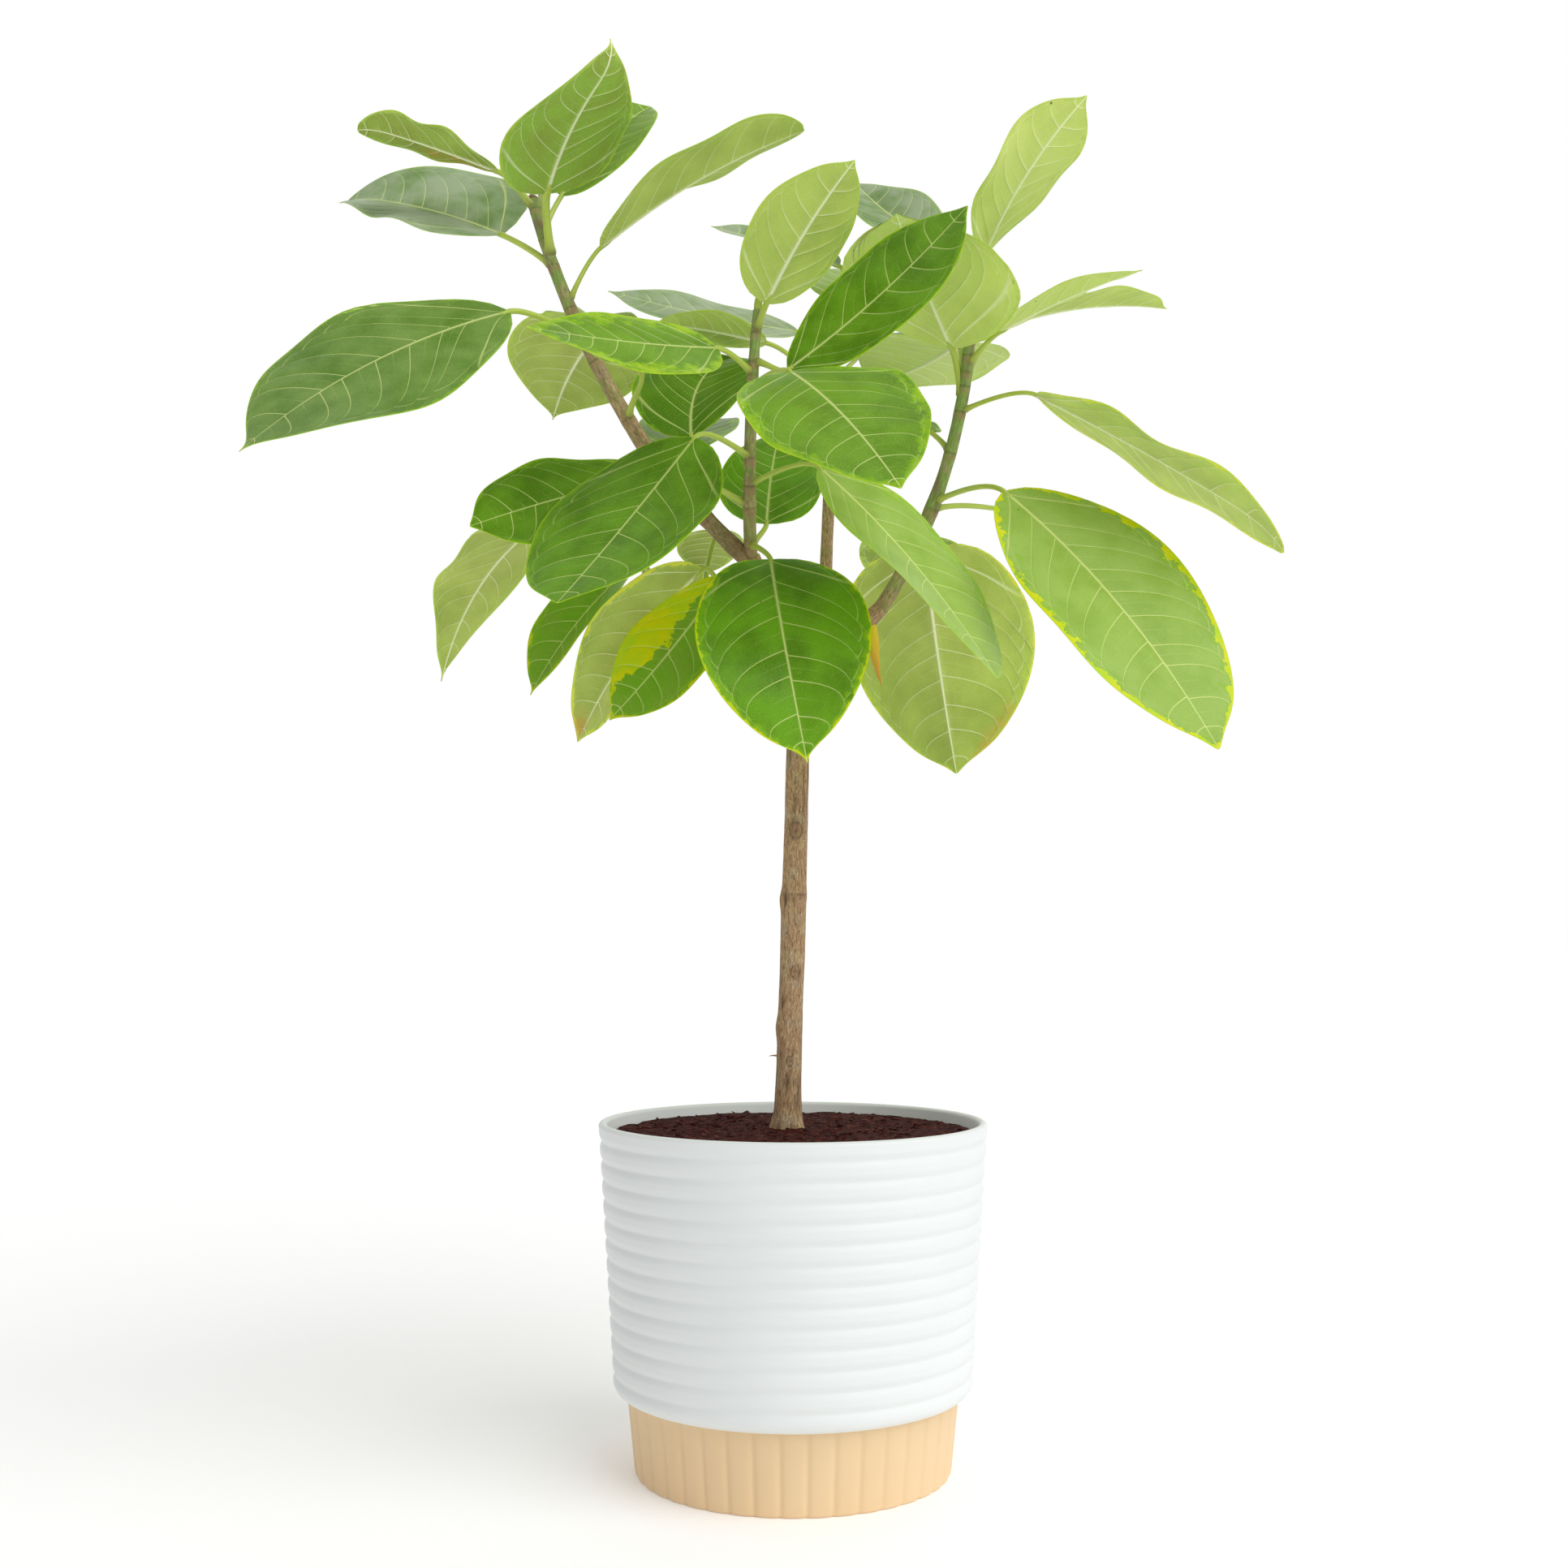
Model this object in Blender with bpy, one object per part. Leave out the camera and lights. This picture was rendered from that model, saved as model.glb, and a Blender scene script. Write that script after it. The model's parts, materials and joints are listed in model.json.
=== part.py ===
"""Potted variegated ficus: ribbed planter, fluted base, soil, trunk, boughs and masses of leaves.

Metres, +Z up. The origin is the centre of the base's flat underside and the front faces -Y.
Directions are (heading, rise) in degrees: heading turns from +X towards +Y, rise lifts from level.
"""
import math
from dataclasses import dataclass

import bpy
import numpy as np

# Clearances and facets
GAP = 0.0003
ROUND_SEGMENTS = 36
LIMB_SIDES = 10
TWIG_SIDES = 8
STALK_SIDES = 5

# Planter body, turned about Z
RIM_RADIUS = 0.1285
RIM_HEIGHT = 0.2248
BODY_FOOT_RADIUS = 0.1176
BODY_FOOT_HEIGHT = 0.0620
BODY_UNDERSIDE = 0.0515
FOOT_FILLET = 0.0085
LIP_THICKNESS = 0.0060
LIP_ROUNDING = 0.0015
WALL_THICKNESS = 0.0095
FLOOR_THICKNESS = 0.0080
FLOOR_CORNER_WIDTH = 0.0040
FLOOR_CORNER_HEIGHT = 0.0060
RIB_COUNT = 13
RIB_PITCH = 0.0124
RIB_TOP = 0.2130
RIB_DEPTH = 0.0013
RIB_CREST_SHARE = 0.45

# Fluted base, a tray under the body
BASE_TOP_RADIUS = 0.1078
BASE_FOOT_RADIUS = 0.1030
BASE_HEIGHT = BODY_UNDERSIDE - GAP
BASE_WALL = 0.0070
BASE_FLOOR = 0.0060
BASE_EDGE = 0.0020
FLUTE_COUNT = 40
FLUTE_DEPTH = 0.0011

# Soil
SOIL_HEIGHT = 0.2190
SOIL_CROWN = 0.0012
SOIL_FLAT_RADIUS = 0.035
SOIL_EDGE_DROP = 0.0020

# Leaves
LEAF_THICKNESS = 0.0022
LEAF_ROWS = 6
LEAF_STRIPS = 4
LEAF_FOOT_HALF = 0.0012
LEAF_TIP_HALF = 0.0009
STALK_RADIUS = 0.0021
STALK_STEPS = 4
STALK_SINK = 0.10
STALK_TAPER = (1.1, 0.7)
STALK_LEAVING = (0.45, 0.75)
STALK_LEAVING_REACH = 0.38
STALK_ARRIVING_REACH = 0.35


@dataclass(frozen=True)
class Limb:
    """A round limb that turns evenly from one direction to another as it grows."""
    parent: str
    share: float
    length: float
    start: tuple
    end: tuple
    radii: tuple
    steps: int = 9
    clear_of: tuple = ()


@dataclass(frozen=True)
class Leaf:
    """A leaf: its share along the stem, stalk (heading, rise, length), blade (heading, pitch, roll) and size."""
    share: float
    stalk: tuple
    blade: tuple
    size: tuple
    bend: float = 20
    sweep: float = 0
    fold: float = 8
    peak: float = 0.45


TRUNK_FOOT = (-0.004, -0.008, SOIL_HEIGHT + SOIL_CROWN + GAP)
TRUNK_FLARE = 0.0035
TRUNK_FLARE_HEIGHT = 0.012
TRUNK_KNOTS = (0.16, 0.36, 0.52, 0.68)
KNOT_SWELL = 0.07
KNOT_REACH = 0.03
TRUNK_FLARE_SHARES = (0.02, 0.05, 0.10)

LIMBS = {
    "trunk": Limb("", 0, 0.295, (-1, 88), (65, 87), (0.0084, 0.0078), 8),
    "front_bough": Limb("trunk", 1.0, 0.093, (-145, 69), (-131, 53), (0.0071, 0.0064), 6),
    "left_bough": Limb("front_bough", 0.93, 0.095, (-151, 36), (-178, 50), (0.0059, 0.0056), 6),
    "back_bough": Limb("trunk", 0.97, 0.099, (40, 72), (72, 62), (0.0049, 0.0046), 6, ("front_bough",)),
    "right_bough": Limb("trunk", 0.96, 0.086, (14, 55), (-4, 43), (0.0058, 0.0054), 6,
                        ("front_bough", "back_bough")),
    "left_foliage": Limb("left_bough", 1.0, 0.207, (-180, 56), (142, 71), (0.0054, 0.0036), 10),
    "centre_foliage": Limb("front_bough", 1.0, 0.163, (-92, 45), (-189, 95), (0.0050, 0.0032), 9,
                           ("left_bough",)),
    "right_foliage": Limb("right_bough", 1.0, 0.187, (-24, 54), (-64, 81), (0.0052, 0.0038), 9),
    "back_foliage": Limb("back_bough", 1.0, 0.219, (84, 65), (81, 76), (0.0045, 0.0030), 9),
    "low_foliage": Limb("front_bough", 0.62, 0.117, (143, 13), (140, 21), (0.0038, 0.0028), 6),
}
BUD_LENGTH = 0.012

LEAVES = {
    "left_foliage": (
        Leaf(0.00, (83, 18, 0.105), (88, 25, 0), (0.144, 0.075), 20, 0, 8),
        Leaf(0.01, (145, -17, 0.090), (150, -48, -10), (0.150, 0.091), 40, 0, 12, 0.40),
        Leaf(0.05, (25, 21, 0.034), (68, 47, 5), (0.113, 0.085), 35, 35, 12, 0.40),
        Leaf(0.16, (-75, 32, 0.043), (-157, 20, 5), (0.060, 0.045), 20, 0, 10),
        Leaf(0.38, (84, 42, 0.062), (116, -16, 15), (0.127, 0.095), 20, 15, 4),
        Leaf(0.47, (-141, 6, 0.057), (-155, -34, -40), (0.199, 0.134), 20, -10, 2),
        Leaf(0.58, (88, 16, 0.080), (94, 7, 0), (0.133, 0.072), 25, 0, 8),
        Leaf(0.60, (-16, 58, 0.043), (-1, 31, 5), (0.161, 0.099), 15, -10, 12, 0.50),
        Leaf(0.74, (149, 35, 0.055), (160, 22, -40), (0.137, 0.104), 20, -15, 8, 0.40),
        Leaf(0.77, (-96, 71, 0.042), (-55, 25, 15), (0.119, 0.088), 25, -10, 4, 0.35),
        Leaf(0.84, (100, 44, 0.099), (91, 33, 0), (0.144, 0.070), 20, 0, 8),
        Leaf(0.86, (53, 63, 0.038), (39, 50, 40), (0.117, 0.068), 30, 0, 16),
        Leaf(0.96, (-161, 43, 0.034), (-170, 16, 5), (0.096, 0.053), 10, -5, 12, 0.50),
    ),
    "centre_foliage": (
        Leaf(0.04, (61, 45, 0.030), (82, 52, 5), (0.108, 0.072), 15, 5, 4, 0.40),
        Leaf(0.06, (-68, -25, 0.040), (-68, -65, 20), (0.154, 0.111), 55, -10, 10),
        Leaf(0.23, (-162, 17, 0.060), (-169, -18, -55), (0.132, 0.082), 10, -5, 4, 0.55),
        Leaf(0.32, (-39, 2, 0.057), (-22, -50, 20), (0.179, 0.096), 15, 0, 8, 0.40),
        Leaf(0.43, (-130, 2, 0.052), (-138, -48, -20), (0.161, 0.120), -5, -15, 2),
        Leaf(0.70, (-66, -6, 0.058), (-59, -41, 20), (0.154, 0.115), 30, -5, 4),
        Leaf(0.75, (-134, 17, 0.033), (-155, -2, -45), (0.123, 0.074), 5, 10, 2, 0.40),
        Leaf(0.80, (-31, -21, 0.027), (-4, 41, 60), (0.151, 0.082), 0, -10, 4, 0.50),
        Leaf(0.91, (-57, 51, 0.020), (-48, 40, -10), (0.106, 0.070), 20, -5, 12),
    ),
    "right_foliage": (
        Leaf(0.04, (58, 38, 0.072), (67, -66, -15), (0.175, 0.148), 50, 0, 16),
        Leaf(0.16, (91, 25, 0.110), (70, -20, 0), (0.149, 0.085), 30, 0, 8),
        Leaf(0.40, (41, 8, 0.084), (49, -6, 10), (0.134, 0.078), 25, 0, 8),
        Leaf(0.43, (-55, -6, 0.070), (-27, -52, 40), (0.221, 0.124), 25, 5, 8, 0.50),
        Leaf(0.61, (125, 43, 0.029), (116, 23, 10), (0.100, 0.048), 15, 0, 8),
        Leaf(0.76, (-37, 1, 0.058), (-7, -34, 0), (0.186, 0.101), 5, -5, 6, 0.50),
        Leaf(0.80, (-140, 75, 0.035), (-132, 48, 0), (0.104, 0.120), -10, 10, 2),
        Leaf(0.85, (92, 50, 0.054), (110, 5, 5), (0.149, 0.111), 0, -25, 8, 0.40),
        Leaf(0.90, (35, 46, 0.058), (17, 11, 5), (0.124, 0.067), 25, -5, 12),
        Leaf(0.92, (-42, 34, 0.032), (-21, 19, 10), (0.098, 0.053), 15, 0, 12),
        Leaf(0.94, (85, 36, 0.140), (90, 30, 0), (0.139, 0.080), 25, 0, 8),
        Leaf(0.96, (50, 75, 0.077), (-43, 45, 0), (0.125, 0.073), 20, -10, 8, 0.55),
    ),
    "back_foliage": (
        Leaf(0.35, (84, 25, 0.066), (79, 20, 0), (0.142, 0.085), 25, 0, 8),
        Leaf(0.55, (100, 23, 0.082), (101, 22, -10), (0.139, 0.085), 25, 0, 8),
        Leaf(0.67, (-125, 16, 0.086), (-176, 9, 15), (0.080, 0.041), 10, 0, 8),
        Leaf(0.74, (70, 34, 0.079), (75, 23, 10), (0.137, 0.080), 30, 0, 8),
        Leaf(0.77, (-145, 44, 0.043), (-173, 11, -35), (0.141, 0.079), 0, 5, 4),
        Leaf(0.90, (-28, 39, 0.103), (132, 42, -35), (0.111, 0.062), -5, 10, 16),
        Leaf(0.98, (67, 80, 0.050), (166, 23, -30), (0.108, 0.061), 10, 0, 14),
        Leaf(0.99, (83, 41, 0.050), (71, 34, 0), (0.097, 0.070), 20, 0, 8),
    ),
    "low_foliage": (
        Leaf(0.13, (-119, 19, 0.038), (-165, -51, -55), (0.125, 0.067), 10, 15, 4, 0.50),
        Leaf(0.29, (-131, 27, 0.034), (-176, -55, 35), (0.145, 0.084), 25, 5, 10),
        Leaf(0.51, (82, 50, 0.070), (99, -10, 0), (0.090, 0.050), 10, 0, 6),
        Leaf(0.64, (107, 7, 0.088), (102, -14, 0), (0.122, 0.080), 30, 0, 8),
        Leaf(0.95, (-108, 9, 0.030), (-157, -52, -20), (0.122, 0.073), 25, -5, 16),
        Leaf(0.95, (126, 30, 0.088), (111, 18, -5), (0.136, 0.080), 25, 0, 8),
    ),
}


def unit(heading, rise):
    """Unit vector of a direction."""
    h, r = math.radians(heading), math.radians(rise)
    return np.array([math.cos(r) * math.cos(h), math.cos(r) * math.sin(h), math.sin(r)])


def lengths_to_one(vectors):
    """The same vectors, each one unit long."""
    return vectors / np.linalg.norm(vectors, axis=-1, keepdims=True)


def limb_axis(foot, limb, count=24):
    """Points along a limb: each step leans a little further from the start direction to the end one."""
    first, last = unit(*limb.start), unit(*limb.end)
    angle = math.acos(float(np.clip(first @ last, -1, 1)))
    share = ((np.arange(count) + 0.5) / count)[:, None]
    way = (np.sin((1 - share) * angle) * first + np.sin(share * angle) * last) / math.sin(angle)
    return np.vstack([foot, foot + np.cumsum(way * limb.length / count, axis=0)])


def place_on(axis, share):
    """Point and direction at a share of an axis."""
    at = share * (len(axis) - 1)
    low = min(int(at), len(axis) - 2)
    step = axis[low + 1] - axis[low]
    return axis[low] + (at - low) * step, step / np.linalg.norm(step)


def axes_of_limbs():
    """Axis of every limb, each grown from its place on its parent."""
    axes = {}
    for name, limb in LIMBS.items():
        foot = np.array(TRUNK_FOOT) if not limb.parent else place_on(axes[limb.parent], limb.share)[0]
        axes[name] = limb_axis(foot, limb)
    return axes


def tube_mesh(points, radii, sides):
    """Closed round tube with flat ends along points; its rings turn with the path and never twist."""
    way = lengths_to_one(np.gradient(points, axis=0))
    side = np.cross(way[0], (0, 1, 0) if abs(way[0][1]) < 0.9 else (1, 0, 0))
    turn = np.arange(sides) * 2 * math.pi / sides
    verts = []
    for point, forward, radius in zip(points, way, radii):
        side = side - forward * (side @ forward)
        side = side / np.linalg.norm(side)
        up = np.cross(forward, side)
        verts.extend(point + radius * (math.cos(a) * side + math.sin(a) * up) for a in turn)
    faces = [tuple(reversed(range(sides)))]
    for ring in range(len(points) - 1):
        for k in range(sides):
            a, b = ring * sides + k, ring * sides + (k + 1) % sides
            faces.append((a, b, b + sides, a + sides))
    last = (len(points) - 1) * sides
    faces.append(tuple(range(last, last + sides)))
    return verts, faces


def blade_frame(leaf):
    """Along, across and upper-side directions at the middle of a blade."""
    heading, pitch, roll = leaf.blade
    along = unit(heading, pitch)
    h, r = math.radians(heading), math.radians(roll)
    across = np.array([-math.sin(h), math.cos(h), 0.0])
    upper = np.cross(along, across)
    return along, across * math.cos(r) + upper * math.sin(r), upper * math.cos(r) - across * math.sin(r)


def midrib(foot, leaf, share):
    """Midrib points, directions and upper normals; the rib bends down and sweeps sideways evenly."""
    along, across, upper = blade_frame(leaf)

    def lean(at):
        down = math.radians(leaf.bend) * (0.5 - at)[:, None]
        over = math.radians(leaf.sweep) * (0.5 - at)[:, None]
        level = np.cos(over) * along + np.sin(over) * across
        way = np.cos(down) * level + np.sin(down) * upper
        normal = np.cos(down) * upper - np.sin(down) * along
        normal = normal - (normal * way).sum(axis=1, keepdims=True) * way
        return way, lengths_to_one(normal)

    fine = np.linspace(0, 1, 33)
    step = lean((fine[1:] + fine[:-1]) / 2)[0] * leaf.size[0] / (len(fine) - 1)
    line = np.vstack([foot, foot + np.cumsum(step, axis=0)])
    points = np.stack([np.interp(share, fine, line[:, k]) for k in range(3)], axis=1)
    way, normal = lean(share)
    return points, way, normal


def half_width(leaf, share):
    """Half the blade's width: round at the foot, widest at its peak and drawn out to the tip."""
    skew = math.log(0.5) / math.log(leaf.peak)
    inside = np.clip(share, 1e-6, 1 - 1e-6) ** skew
    shape = np.sin(math.pi * inside) ** (0.55 + 0.5 * share)
    least = LEAF_FOOT_HALF * (1 - share) + LEAF_TIP_HALF * share
    return np.maximum(leaf.size[1] / 2 * shape, least)


def blade_mesh(foot, leaf):
    """Closed thin blade: a grid of points folded up about the midrib, with an upper and a lower skin."""
    row = np.linspace(0, 1, LEAF_ROWS + 1)
    share = 0.35 * row + 0.65 * (1 - np.cos(math.pi * row)) / 2
    points, way, normal = midrib(foot, leaf, share)
    across = np.cross(normal, way)
    strip = np.linspace(-1, 1, LEAF_STRIPS + 1)
    fold = math.radians(leaf.fold)
    out = (half_width(leaf, share)[:, None] * strip)[..., None]
    middle = points[:, None] + out * math.cos(fold) * across[:, None]
    middle = middle + abs(out) * math.sin(fold) * normal[:, None]
    lift = normal[:, None] * LEAF_THICKNESS / 2
    verts = np.vstack([(middle + lift).reshape(-1, 3), (middle - lift).reshape(-1, 3)])
    wide, below = LEAF_STRIPS + 1, (LEAF_ROWS + 1) * (LEAF_STRIPS + 1)
    faces = []
    for i in range(LEAF_ROWS):
        for j in range(LEAF_STRIPS):
            a = i * wide + j
            quad = (a, a + wide, a + wide + 1, a + 1)
            faces.append(quad)
            faces.append(tuple(below + v for v in reversed(quad)))
    edge = [i * wide for i in range(LEAF_ROWS + 1)]
    edge += [LEAF_ROWS * wide + j for j in range(1, wide)]
    edge += [i * wide + LEAF_STRIPS for i in range(LEAF_ROWS - 1, -1, -1)]
    edge += [j for j in range(LEAF_STRIPS - 1, 0, -1)]
    for a, b in zip(edge, edge[1:] + edge[:1]):
        faces.append((b, a, below + a, below + b))
    return verts, faces


def stalk_path(node, stem_way, foot, leaf):
    """Stalk points: a cubic curve that leaves the stem upwards and arrives along the midrib, sunk into it."""
    rib, way, _ = midrib(foot, leaf, np.array([0.0, STALK_SINK]))
    reach = np.linalg.norm(foot - node)
    out = (foot - node) / reach
    upwards, outwards = STALK_LEAVING
    first = node + STALK_LEAVING_REACH * reach * (upwards * stem_way + outwards * out)
    second = foot - STALK_ARRIVING_REACH * reach * way[0]
    t = np.linspace(0, 1, STALK_STEPS + 1)[:, None]
    back = 1 - t
    curve = back ** 3 * node + 3 * back ** 2 * t * first + 3 * back * t ** 2 * second + t ** 3 * foot
    return np.vstack([curve, rib[1]])


def rings_of(axis, limb, bud=False):
    """Ring centres and radii of a limb with an even taper; a bud closes the tip of a leafy stem."""
    share = np.linspace(0, 1, limb.steps + 1)
    radii = np.interp(share, (0, 1), limb.radii)
    points = np.array([place_on(axis, s)[0] for s in share])
    if bud:
        way = lengths_to_one(axis[-1] - axis[-2])
        points = np.vstack([points, points[-1] + way * BUD_LENGTH * 0.4, points[-1] + way * BUD_LENGTH])
        radii = np.append(radii, (radii[-1] * 0.8, radii[-1] * 0.15))
    return points, radii


def material(name, colour, roughness):
    """Principled material of one colour, given as linear red, green and blue."""
    made = bpy.data.materials.new(name)
    made.use_nodes = True
    shader = made.node_tree.nodes["Principled BSDF"]
    shader.inputs["Base Color"].default_value = (*colour, 1)
    shader.inputs["Roughness"].default_value = roughness
    made.diffuse_color = (*colour, 1)
    return made


def add_object(name, verts, faces, finish=None, collection=None):
    """New mesh object in the scene's collection or in the one given."""
    mesh = bpy.data.meshes.new(name)
    mesh.from_pydata([tuple(map(float, v)) for v in verts], [], faces)
    mesh.update()
    made = bpy.data.objects.new(name, mesh)
    if finish:
        mesh.materials.append(finish)
    (collection or bpy.context.scene.collection).objects.link(made)
    return made


def apply_modifiers(target):
    """Bake the object's modifiers into its mesh."""
    bpy.context.view_layer.update()
    seen = target.evaluated_get(bpy.context.evaluated_depsgraph_get())
    mesh = bpy.data.meshes.new_from_object(seen)
    target.modifiers.clear()
    target.data = mesh


def keep_largest(target):
    """Drop loose scraps: only the body with the most corners stays."""
    mesh = target.data
    root = list(range(len(mesh.vertices)))

    def find(v):
        while root[v] != v:
            root[v] = root[root[v]]
            v = root[v]
        return v

    for edge in mesh.edges:
        root[find(edge.vertices[0])] = find(edge.vertices[1])
    owner = [find(v) for v in range(len(root))]
    best = max(set(owner), key=owner.count)
    number, verts = {}, []
    for v, body in enumerate(owner):
        if body == best:
            number[v] = len(verts)
            verts.append(mesh.vertices[v].co[:])
    faces = [tuple(number[v] for v in p.vertices) for p in mesh.polygons if owner[p.vertices[0]] == best]
    clean = bpy.data.meshes.new(target.name)
    clean.from_pydata(verts, [], faces)
    for finish in mesh.materials:
        clean.materials.append(finish)
    target.data = clean


def fuse(name, pieces, finish):
    """One closed body from the pieces: a Boolean union on their collection, applied, and they are removed."""
    trunk_verts, trunk_faces = pieces[0]
    body = add_object(name, trunk_verts, trunk_faces, finish)
    loose = bpy.data.collections.new(name + "_pieces")
    bpy.context.scene.collection.children.link(loose)
    for number, (verts, faces) in enumerate(pieces[1:]):
        add_object(f"{name}_piece_{number}", verts, faces, finish, loose)
    union = body.modifiers.new("union", "BOOLEAN")
    union.operation = "UNION"
    union.operand_type = "COLLECTION"
    union.collection = loose
    union.solver = "EXACT"
    apply_modifiers(body)
    for piece in list(loose.objects):
        bpy.data.objects.remove(piece)
    bpy.data.collections.remove(loose)
    return body


def seat(target, axes, neighbour):
    """Cut a limb to the face of a neighbour that it grows from or passes, one gap clear of it."""
    points, radii = limb_rings(axes, neighbour)
    way = lengths_to_one(np.gradient(points, axis=0))
    points[0] -= way[0] * GAP
    points[-1] += way[-1] * GAP
    cutter = add_object("seat_cutter", *tube_mesh(points, radii + GAP * 1.1, LIMB_SIDES))
    cutter.hide_render = True
    cutter.display_type = "WIRE"
    cut = target.modifiers.new("seat", "BOOLEAN")
    cut.operation = "DIFFERENCE"
    cut.object = cutter
    cut.solver = "EXACT"
    apply_modifiers(target)
    bpy.data.objects.remove(cutter)
    keep_largest(target)


def seat_on_neighbours(target, axes, limb):
    """Seat a limb on its parent and clear of the other limbs at the same fork."""
    for neighbour in (limb.parent, *limb.clear_of):
        seat(target, axes, neighbour)


def limb_rings(axes, name):
    """Ring centres and radii of a woody limb; the trunk has a root flare and swollen knots."""
    limb = LIMBS[name]
    points, radii = rings_of(axes[name], limb)
    if name == "trunk":
        knots = [k + d for k in TRUNK_KNOTS for d in (-KNOT_REACH, 0, KNOT_REACH)]
        share = np.unique(np.concatenate([np.linspace(0, 1, limb.steps), TRUNK_FLARE_SHARES, knots]))
        points = np.array([place_on(axes[name], s)[0] for s in share])
        radii = np.interp(share, (0, 1), limb.radii)
        radii = radii + TRUNK_FLARE * np.exp(-share * limb.length / TRUNK_FLARE_HEIGHT)
        for knot in TRUNK_KNOTS:
            radii = radii * (1 + KNOT_SWELL * np.exp(-((share - knot) / KNOT_REACH * 1.5) ** 2))
    return points, radii


def add_limb(name, axes, finish):
    """A woody limb as one tapering solid, seated on its parent."""
    verts, faces = tube_mesh(*limb_rings(axes, name), LIMB_SIDES)
    if name == "trunk":
        verts = [np.array([v[0], v[1], TRUNK_FOOT[2]]) if k < LIMB_SIDES else v for k, v in enumerate(verts)]
    made = add_object(name, verts, faces, finish)
    if LIMBS[name].parent:
        seat_on_neighbours(made, axes, LIMBS[name])
    return made


def add_mass(name, axes, finish):
    """A mass of leaves as one solid: its stem with a bud, and a stalk and a blade for each leaf."""
    limb, axis = LIMBS[name], axes[name]
    pieces = [tube_mesh(*rings_of(axis, limb, bud=True), TWIG_SIDES)]
    for leaf in LEAVES[name]:
        node, stem_way = place_on(axis, leaf.share)
        heading, rise, length = leaf.stalk
        foot = node + length * unit(heading, rise)
        path = stalk_path(node, stem_way, foot, leaf)
        pieces.append(tube_mesh(path, STALK_RADIUS * np.linspace(*STALK_TAPER, len(path)), STALK_SIDES))
        pieces.append(blade_mesh(foot, leaf))
    made = fuse(name, pieces, finish)
    seat_on_neighbours(made, axes, limb)
    return made


def turned(profile, segments):
    """Closed body turned about Z from (radius, height) points that run down the outer side."""
    verts, faces, rings = [], [], []
    for radius, height in profile:
        if radius < 1e-6:
            rings.append([len(verts)] * segments)
            verts.append((0, 0, height))
            continue
        rings.append(list(range(len(verts), len(verts) + segments)))
        for k in range(segments):
            a = 2 * math.pi * k / segments
            verts.append((radius * math.cos(a), radius * math.sin(a), height))
    for upper, lower in zip(rings, rings[1:]):
        for k in range(segments):
            n = (k + 1) % segments
            face = dict.fromkeys((upper[k], lower[k], lower[n], upper[n]))
            faces.append(tuple(face))
    return verts, faces


def body_radius(height):
    """Outer radius of the planter's body at a height, before its ribs."""
    return float(np.interp(height, (BODY_FOOT_HEIGHT, RIM_HEIGHT), (BODY_FOOT_RADIUS, RIM_RADIUS)))


def planter_profile():
    """Profile of the body: lip, ribs down the outer side, filleted foot, floor and inner wall."""
    inner_floor = BODY_UNDERSIDE + FLOOR_THICKNESS
    inner_lip = RIM_RADIUS - LIP_THICKNESS
    inner_foot = BODY_FOOT_RADIUS - WALL_THICKNESS
    points = [(0, inner_floor), (inner_foot - FLOOR_CORNER_WIDTH, inner_floor)]
    points += [(inner_foot, inner_floor + FLOOR_CORNER_HEIGHT)]
    points += [(body_radius(SOIL_HEIGHT) - WALL_THICKNESS, SOIL_HEIGHT - SOIL_EDGE_DROP)]
    points += [(inner_lip, RIM_HEIGHT - LIP_ROUNDING * 2), (inner_lip + LIP_ROUNDING, RIM_HEIGHT)]
    points += [(RIM_RADIUS - LIP_ROUNDING, RIM_HEIGHT), (RIM_RADIUS, RIM_HEIGHT - LIP_ROUNDING)]
    for rib in range(RIB_COUNT):
        groove = RIB_TOP - rib * RIB_PITCH
        crest = groove + RIB_PITCH * RIB_CREST_SHARE
        points += [(body_radius(crest), crest), (body_radius(groove) - RIB_DEPTH, groove)]
    for step in range(4):
        a = math.pi / 2 * step / 3
        points.append((BODY_FOOT_RADIUS - FOOT_FILLET * (1 - math.cos(a)),
                       BODY_UNDERSIDE + FOOT_FILLET * (1 - math.sin(a))))
    return points + [(0, BODY_UNDERSIDE)]


def base_profile():
    """Profile of the base: a tray with a flat underside and a softened lower edge."""
    inner = BASE_FOOT_RADIUS - BASE_WALL
    return [(0, BASE_FLOOR), (inner, BASE_FLOOR), (BASE_TOP_RADIUS - BASE_WALL, BASE_HEIGHT),
            (BASE_TOP_RADIUS, BASE_HEIGHT), (BASE_FOOT_RADIUS, BASE_EDGE),
            (BASE_FOOT_RADIUS - BASE_EDGE, 0), (0, 0)]


def fluted(verts):
    """Flute the outer side: a narrow groove between broad flat lobes, four corners to a flute."""
    made = []
    for x, y, z in verts:
        radius = math.hypot(x, y)
        if radius > BASE_TOP_RADIUS - BASE_WALL + FLUTE_DEPTH and z < BASE_HEIGHT + GAP:
            corner = round(math.atan2(y, x) / (2 * math.pi) * FLUTE_COUNT * 4) % 4
            scale = 1 - FLUTE_DEPTH / radius if corner == 2 else 1
            x, y = x * scale, y * scale
        made.append((x, y, z))
    return made


def soil_profile():
    """Profile of the soil: level round the trunk, a little lower at the wall, clear of wall and floor."""
    top = SOIL_HEIGHT + SOIL_CROWN
    floor = BODY_UNDERSIDE + FLOOR_THICKNESS + GAP
    foot = BODY_FOOT_RADIUS - WALL_THICKNESS - GAP * 2
    side = body_radius(SOIL_HEIGHT) - WALL_THICKNESS - GAP * 2
    return [(0, top), (SOIL_FLAT_RADIUS, top), (side, SOIL_HEIGHT - SOIL_EDGE_DROP),
            (foot, floor + FLOOR_CORNER_HEIGHT), (foot - FLOOR_CORNER_WIDTH, floor), (0, floor)]


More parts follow.
